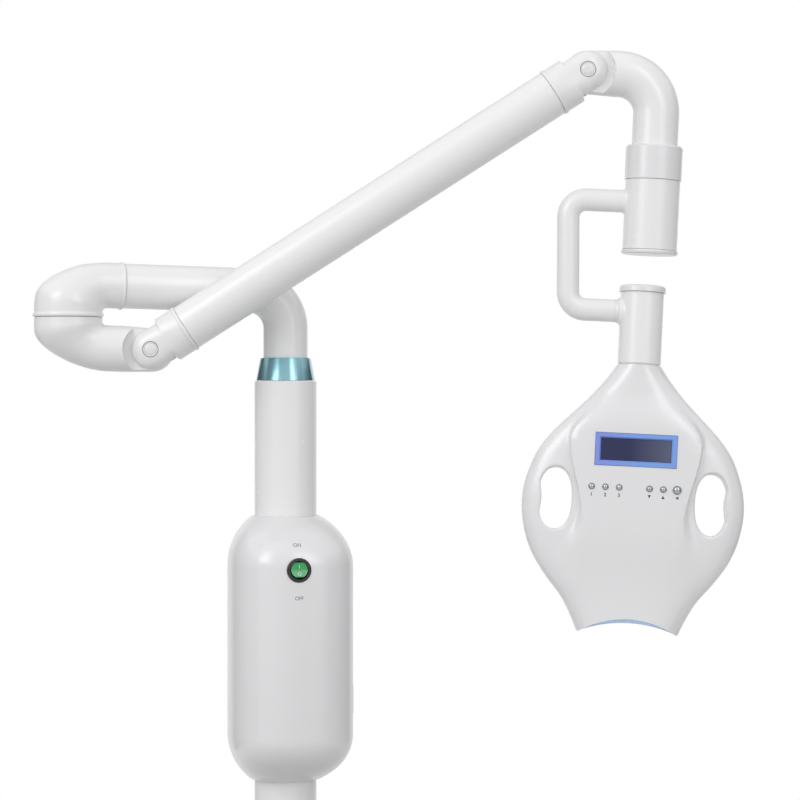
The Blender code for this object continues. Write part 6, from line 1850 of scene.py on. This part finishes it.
# Black ABS with a spark-eroded grain, which is 0.1 mm on the real one and drawn at 0.7 mm to show
BLACK_ABS = surface("black_grained_abs", "#101113", "#18191B", 0.38, 0.7, 0.020, ior=1.54)
# Polyurethane tread, grey, matt from rolling
GREY_TREAD = surface("grey_polyurethane", "#56585B", "#6A6C6F", 0.58, 1.5, 0.030, drift_mm=10, ior=1.48)
# Green polycarbonate that lets some light in
GREEN_ROCKER = surface(
    "green_polycarbonate", "#05954A", "#0CA858", 0.20, 2, 0.004, drift_mm=6, ior=1.58,
    transmission_weight=0.08,
)
# Natural nylon, milky and waxy
NYLON = surface("natural_nylon", "#D3D1C6", "#C7C4B8", 0.45, 2, 0.010, ior=1.53)
# Blue-violet printed frame under a clear gloss coat
PERIWINKLE = surface(
    "periwinkle_gloss_print", "#7F94E6", "#78A2EA", 0.20, 3, 0.003, across=(0.278, 0.318), ior=1.5,
)
# Tinted glass over a dark display. Its colour turns from navy on the left to a paler grey-blue on the right along
# X: a painted reflection of a bright area to the right
DISPLAY_GLASS = surface(
    "tinted_display_glass", "#14204E", "#5E6480", 0.06, 20, 0.001, across=(0.304, 0.350), ior=1.52,
)
# Green solder mask over copper, slightly rippled along its tracks
SOLDER_MASK = surface("green_solder_mask", "#0E5A2E", "#2F8A4C", 0.34, 1.5, 0.040, drift_mm=3, ior=1.5)
# White solder mask on a metal-core board, with yellow phosphor over the emitters
LED_BOARD = surface("white_led_board", "#DCE2F0", "#C9D4F4", 0.32, 2, 0.010, drift_mm=8, ior=1.5)
# Clear acrylic, faintly blue, moulded
BLUE_LENS = surface(
    "clear_blue_acrylic", "#BAD2F4", "#C8DBF6", 0.08, 12, 0.004, ior=1.49, transmission_weight=0.7,
)
# Grey screen-print ink, matt on the gloss plastic
GREY_INK = surface("grey_screen_print", "#8D8F93", "#9A9CA0", 0.55, 0.6, 0.004, drift_mm=3, ior=1.5)
# Black screen-print ink
BLACK_INK = surface("black_screen_print", "#2A2B2E", "#38393C", 0.55, 0.6, 0.004, drift_mm=3, ior=1.5)
# White print on the rocker
PALE_INK = surface("white_pad_print", "#BFE8CC", "#A8DCBA", 0.45, 0.6, 0.004, drift_mm=3, ior=1.5)

MATERIALS = {
    "white_gloss_plastic": GLOSS_ABS,
    "white_lacquered_tube": LACQUERED_TUBE,
    "white_lacquered_casting": LACQUERED_CASTING,
    "white_lacquered_iron": LACQUERED_IRON,
    "chrome": CHROME,
    "chromed_plastic": CHROMED_PLASTIC,
    "teal_anodised_metal": TEAL_ANODISE,
    "steel": ZINC_STEEL,
    "aluminium": BARE_ALUMINIUM,
    "black_plastic": BLACK_ABS,
    "grey_tyre": GREY_TREAD,
    "green_translucent_plastic": GREEN_ROCKER,
    "nylon_bush": NYLON,
    "periwinkle_frame": PERIWINKLE,
    "navy_display": DISPLAY_GLASS,
    "circuit_board": SOLDER_MASK,
    "led_board": LED_BOARD,
    "blue_lens": BLUE_LENS,
}
SLOT_OF = {part["node"]: part["material_slot"] for part in frame["record"]["subparts"]}
BODY_OF = {name: solid["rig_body"] for name, solid in frame["nodes"].items()}


# Stage: floor, backdrop, lamps and camera
def lit_only(tree, white):
    """White for rays that see, reflect or pass through to the backdrop, and the plain level for the rest."""
    path = add(tree, "LightPath")
    seen = add(
        tree, "Math", {"operation": "MAXIMUM"},
        {0: path.outputs["Is Camera Ray"], 1: path.outputs["Is Glossy Ray"]},
    )
    seen = add(
        tree, "Math", {"operation": "MAXIMUM"},
        {0: seen.outputs[0], 1: path.outputs["Is Transmission Ray"]},
    )
    return add(tree, "MixShader", inputs={0: seen.outputs[0], 2: white.outputs[0]})


def build_world():
    """A white backdrop that lights the lamp more from above and the left than from below."""
    world = bpy.data.worlds.new("white_backdrop")
    bpy.context.scene.world = world
    world.use_nodes = True
    tree = world.node_tree
    tree.nodes.clear()
    towards = add(tree, "TexCoord").outputs["Generated"]
    facing = add(
        tree, "VectorMath", {"operation": "DOT_PRODUCT"},
        {0: towards, 1: Vector(SKY_BRIGHT_SIDE).normalized()},
    )
    level = add(
        tree, "MapRange", inputs={
            "Value": facing.outputs["Value"], "From Min": -1.0, "From Max": 1.0,
            "To Min": SKY_LEVELS[0], "To Max": SKY_LEVELS[1],
        },
    )
    plain = add(
        tree, "Background", inputs={"Color": (1, 1, 1, 1), "Strength": level.outputs[0]}
    )
    white = add(tree, "Background", inputs={"Color": (1, 1, 1, 1), "Strength": 1.0})
    mix = lit_only(tree, white)
    tree.links.new(plain.outputs[0], mix.inputs[1])
    add(tree, "OutputWorld", inputs={0: mix.outputs[0]})


def build_floor():
    """A pale floor that fades into the white backdrop, and throws little light back up."""
    shape = bmesh.new()
    bmesh.ops.create_circle(shape, cap_ends=True, segments=96, radius=FLOOR_RADIUS)
    floor = bpy.data.objects.new("studio_floor", mesh_of("studio_floor", shape))
    floor.location.z = -GAP
    bpy.context.scene.collection.objects.link(floor)
    material, tree, shader, place_at = blank_material("pale_matt_floor")
    bounced = add(tree, "LightPath").outputs["Is Diffuse Ray"]
    tone = add(
        tree, "Mix", {"data_type": "RGBA"},
        {0: bounced, 6: linear("#F7F7F7"), 7: linear(FLOOR_BOUNCE)},
    )
    tree.links.new(tone.outputs[2], shader.inputs["Base Color"])
    shader.inputs["Roughness"].default_value = 0.7
    shader.inputs["Specular IOR Level"].default_value = 0.2
    away = add(tree, "VectorMath", {"operation": "LENGTH"}, {0: place_at})
    fade = add(
        tree, "MapRange", {"interpolation_type": "SMOOTHSTEP"},
        {"Value": away.outputs["Value"], "From Min": FLOOR_CLEAR, "From Max": FLOOR_FADED},
    )
    white = add(tree, "Emission", inputs={"Strength": 1.0})
    mix = lit_only(tree, white)
    tree.links.new(shader.outputs[0], mix.inputs[1])
    final = add(
        tree, "MixShader",
        inputs={0: fade.outputs[0], 1: shader.outputs[0], 2: mix.outputs[0]},
    )
    output = next(n for n in tree.nodes if n.type == "OUTPUT_MATERIAL")
    tree.links.new(final.outputs[0], output.inputs["Surface"])
    floor.data.materials.append(material)


def build_flag(name, azimuth, width, height, distance, centre, level):
    """A grey panel that only reflections see, which gives the glossy white parts their edges."""
    shape = bmesh.new()
    bmesh.ops.create_grid(shape, x_segments=1, y_segments=1, size=0.5)
    flag = bpy.data.objects.new(name, mesh_of(name, shape))
    flag.scale = (width, height, 1)
    flag.rotation_euler = (radians(90), 0, azimuth)
    flag.location = (
        centre[0] + distance * sin(azimuth), centre[1] - distance * cos(azimuth), centre[2]
    )
    bpy.context.scene.collection.objects.link(flag)
    material = bpy.data.materials.new(name)
    material.use_nodes = True
    tree = material.node_tree
    tree.nodes.clear()
    grey = add(tree, "Emission", inputs={"Color": (level, level, level, 1)})
    add(tree, "OutputMaterial", inputs={"Surface": grey.outputs[0]})
    flag.data.materials.append(material)
    flag.visible_camera = False
    flag.visible_diffuse = False
    flag.visible_shadow = False
    flag.visible_transmission = False


def build_lamp_light(name, at, aim, size, power):
    data = bpy.data.lights.new(name, "AREA")
    data.shape = "DISK"
    data.size = size
    data.energy = power
    light = bpy.data.objects.new(name, data)
    light.location = at
    light.rotation_euler = (Vector(aim) - Vector(at)).to_track_quat("-Z", "Y").to_euler()
    bpy.context.scene.collection.objects.link(light)


def build_camera():
    data = bpy.data.cameras.new("photo_camera")
    data.sensor_width = SENSOR_WIDTH
    data.lens = FOCAL_PIXELS * SENSOR_WIDTH / PICTURE_WIDTH
    data.clip_end = 50
    camera = bpy.data.objects.new("photo_camera", data)
    camera.location = CAMERA_AT
    camera.rotation_euler = (radians(90), 0, 0)
    bpy.context.scene.collection.objects.link(camera)
    bpy.context.scene.camera = camera


def build_stage():
    view = bpy.context.scene.view_settings
    view.view_transform = "Standard"
    build_camera()
    build_world()
    build_floor()
    for name, azimuth, width, height, middle, level in FLAGS:
        centre = (STAGE_CENTRE[0], STAGE_CENTRE[1], middle)
        build_flag(name, radians(azimuth), width, height, FLAG_DISTANCE, centre, level)
    for name, at, size, power in LIGHTS:
        build_lamp_light(name, at, STAGE_CENTRE, size, power)


CAMERA_AT = (0.1036, -2.4, 1.051)
SENSOR_WIDTH = 36
FOCAL_PIXELS = 2652
PICTURE_WIDTH = 800
SKY_BRIGHT_SIDE = (-0.35, -0.9, 0.42)
SKY_LEVELS = (0.35, 1.0)
FLOOR_BOUNCE = "#B4B4B4"
FLOOR_RADIUS = 4.0
FLOOR_CLEAR = 0.45
FLOOR_FADED = 1.3
STAGE_CENTRE = (0.1, 0, 0.95)
FLAG_DISTANCE = 2.3
# Name, azimuth from the front in degrees, width, height, middle's height in metres, grey level
FLAGS = (
    ("flag_left", -120, 2.1, 2.6, 0.95, 0.14),
    ("flag_right", 110, 2.2, 2.6, 0.95, 0.08),
    ("strip_left", -43, 0.85, 2.2, 2.65, 4.4),
    ("flag_front", 0, 1.3, 3.0, 1.2, 0.85),
    ("strip_right", 31, 0.65, 2.2, 2.65, 4.0),
    ("flag_mid_left", -78, 1.6, 2.6, 0.95, 0.34),
    ("flag_mid_right", 66, 1.4, 2.6, 0.95, 0.27),
    ("flag_behind", 180, 6.0, 2.6, 3.4, 0.45),
)
# Name, place, size in metres and power in watts
LIGHTS = (
    ("key_softbox", (-1.7, -1.9, 2.3), 1.3, 14),
    ("fill_softbox", (1.9, -1.8, 1.5), 1.3, 4),
    ("top_softbox", (0.1, -0.4, 3.2), 1.5, 1),
)


# Printed marks
def surface_under(target):
    """A finder of the place on a piece under a point, seen along a direction, in the lamp's frame."""
    graph = bpy.context.evaluated_depsgraph_get()
    evaluated = target.evaluated_get(graph)
    mesh = evaluated.to_mesh()
    points = [target.matrix_world @ v.co for v in mesh.vertices]
    tree = BVHTree.FromPolygons(points, [list(p.vertices) for p in mesh.polygons])
    evaluated.to_mesh_clear()
    return tree


def print_mark(name, shape, seat, target, body, ink):
    """Lays a flat mark, made in X-Z around its own centre, on the front of a piece."""
    mesh = mesh_of(name, shape)
    under = surface_under(target)
    inward = (seat.to_3x3() @ Vector((0, 1, 0))).normalized()
    for vertex in mesh.vertices:
        rise = PRINT_THICKNESS if vertex.co.y < 0 else 0
        start = seat @ Vector((vertex.co.x, 0, vertex.co.z)) - inward * PRINT_SEEK
        hit = under.ray_cast(start, inward)[0]
        vertex.co = hit - inward * (rise + PRINT_THICKNESS / 4)
    mark = bpy.data.objects.new(name, mesh)
    bpy.context.scene.collection.objects.link(mark)
    mesh.materials.append(ink)
    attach(mark, body)


def letters(text, height):
    """A line of plain letters in X-Z as a thin solid."""
    curve = bpy.data.curves.new("letters", "FONT")
    curve.body = text
    curve.size = height / CAPITAL_SHARE
    curve.align_x = "CENTER"
    curve.extrude = PRINT_THICKNESS
    curve.offset = height * BOLD_SHARE
    curve.resolution_u = 6
    holder = bpy.data.objects.new("letters", curve)
    bpy.context.scene.collection.objects.link(holder)
    graph = bpy.context.evaluated_depsgraph_get()
    mesh = bpy.data.meshes.new_from_object(holder.evaluated_get(graph))
    bpy.data.objects.remove(holder)
    shape = bmesh.new()
    shape.from_mesh(mesh)
    bmesh.ops.remove_doubles(shape, verts=shape.verts, dist=MERGE_DISTANCE)
    for vertex in shape.verts:
        x, y, z = vertex.co
        vertex.co = (x, -z, y - height / 2)
    return shape


def polygon(outline):
    """A flat outline in X-Z as a thin solid."""
    shape = bmesh.new()
    near, far = (
        [shape.verts.new((x, y, z)) for x, z in outline] for y in (-PRINT_THICKNESS, PRINT_THICKNESS)
    )
    shape.faces.new(near)
    shape.faces.new(far)
    for i in range(len(outline)):
        j = (i + 1) % len(outline)
        shape.faces.new((near[i], near[j], far[j], far[i]))
    return shape


PRINT_THICKNESS = 0.00006
PRINT_SEEK = 0.030
CAPITAL_SHARE = 0.70
SWITCH_WORD_RISE = 0.0218
SWITCH_WORD_DROP = 0.0246
BOLD_SHARE = 0.03
SWITCH_WORD_HEIGHT = 0.0032
HEAD_MARK_HEIGHT = 0.0030
HEAD_MARK_DROP = 0.0068
ROCKER_SIGN_RISE = 0.0026
ROCKER_SIGN_DROP = 0.0036
ROCKER_SIGN_HEIGHT = 0.0032
ARROW_HALF = 0.0014


def build_marks(boxes, tilt):
    """Plain words and signs at the switch and under the buttons."""
    seat = stand_on(boxes, (SWITCH_OFFSET, -BOX_FRONT, SWITCH_HEIGHT))
    cover = finished["box_front_cover"]
    for name, text, rise in (
        ("mark_on", "ON", SWITCH_WORD_RISE), ("mark_off", "OFF", -SWITCH_WORD_DROP)
    ):
        print_mark(
            name, letters(text, SWITCH_WORD_HEIGHT), stand_on(seat, (0, 0, rise)), cover, "stand",
            GREY_INK,
        )
    pivot = stand_on(seat, (0, -BEZEL_PROUD + ROCKER_PIVOT_DEPTH, 0), (-ROCKER_SLOPE, 0, 0))
    for name, text, rise in (
        ("mark_rocker_i", "I", ROCKER_SIGN_RISE), ("mark_rocker_o", "O", -ROCKER_SIGN_DROP)
    ):
        print_mark(
            name, letters(text, ROCKER_SIGN_HEIGHT),
            stand_on(pivot, (0, -ROCKER_PIVOT_DEPTH, rise)), finished["switch_rocker"],
            "rocker", PALE_INK,
        )
    shell = finished["head_front_shell"]
    row = -BUTTON_DROP - HEAD_MARK_DROP
    for i, (_, x, _) in enumerate(button_places()):
        down = [(-ARROW_HALF, ARROW_HALF), (ARROW_HALF, ARROW_HALF), (0, -ARROW_HALF)]
        up = [(x_, -z_) for x_, z_ in down]
        if i < 3:
            shape = letters(str(3 - i), HEAD_MARK_HEIGHT)
        elif i == 3:
            shape = polygon(down)
        elif i == 4:
            shape = polygon(up)
        else:
            shape = polygon([(z_, x_) for x_, z_ in down])
        name = ("mark_3", "mark_2", "mark_1", "mark_down", "mark_up", "mark_start")[i]
        seat = stand_on(tilt, (x, -PANEL_FRONT, row))
        print_mark(name, shape, seat, shell, "head", BLACK_INK)


# Every finer piece goes onto its body, at rest in the lamp's frame
def finish_pieces():
    bpy.context.view_layer.update()
    graph = bpy.context.evaluated_depsgraph_get()
    for node, made in finished.items():
        mesh = bpy.data.meshes.new_from_object(made.evaluated_get(graph))
        mesh.transform(made.matrix_world)
        mesh.materials.clear()
        mesh.materials.append(MATERIALS[SLOT_OF[node]])
        mesh.shade_smooth()
        mesh.set_sharp_from_angle(angle=SHARP_ANGLE)
        piece = bpy.data.objects.new(node + "_finish", mesh)
        bpy.context.scene.collection.objects.link(piece)
        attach(piece, BODY_OF[node])
        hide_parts(node)
    for helper in [*finished.values(), *helpers]:
        bpy.data.objects.remove(helper)
    for node, solid in frame["nodes"].items():
        if node not in finished:
            solid.data.materials.clear()
            solid.data.materials.append(MATERIALS[SLOT_OF[node]])


def main():
    build_stage()
    build_base()
    build_casters()
    build_pole()
    boxes = build_box()
    swing = build_swing_arm()
    elbow_axis = build_lower_elbow(swing)
    upper = build_main_arm(elbow_axis)
    swivel = build_gooseneck(upper)
    build_drop_tube(swivel)
    tilt = build_handle(swivel)
    build_neck(tilt)
    build_head(tilt)
    bpy.context.view_layer.update()
    build_marks(boxes, tilt)
    finish_pieces()


main()
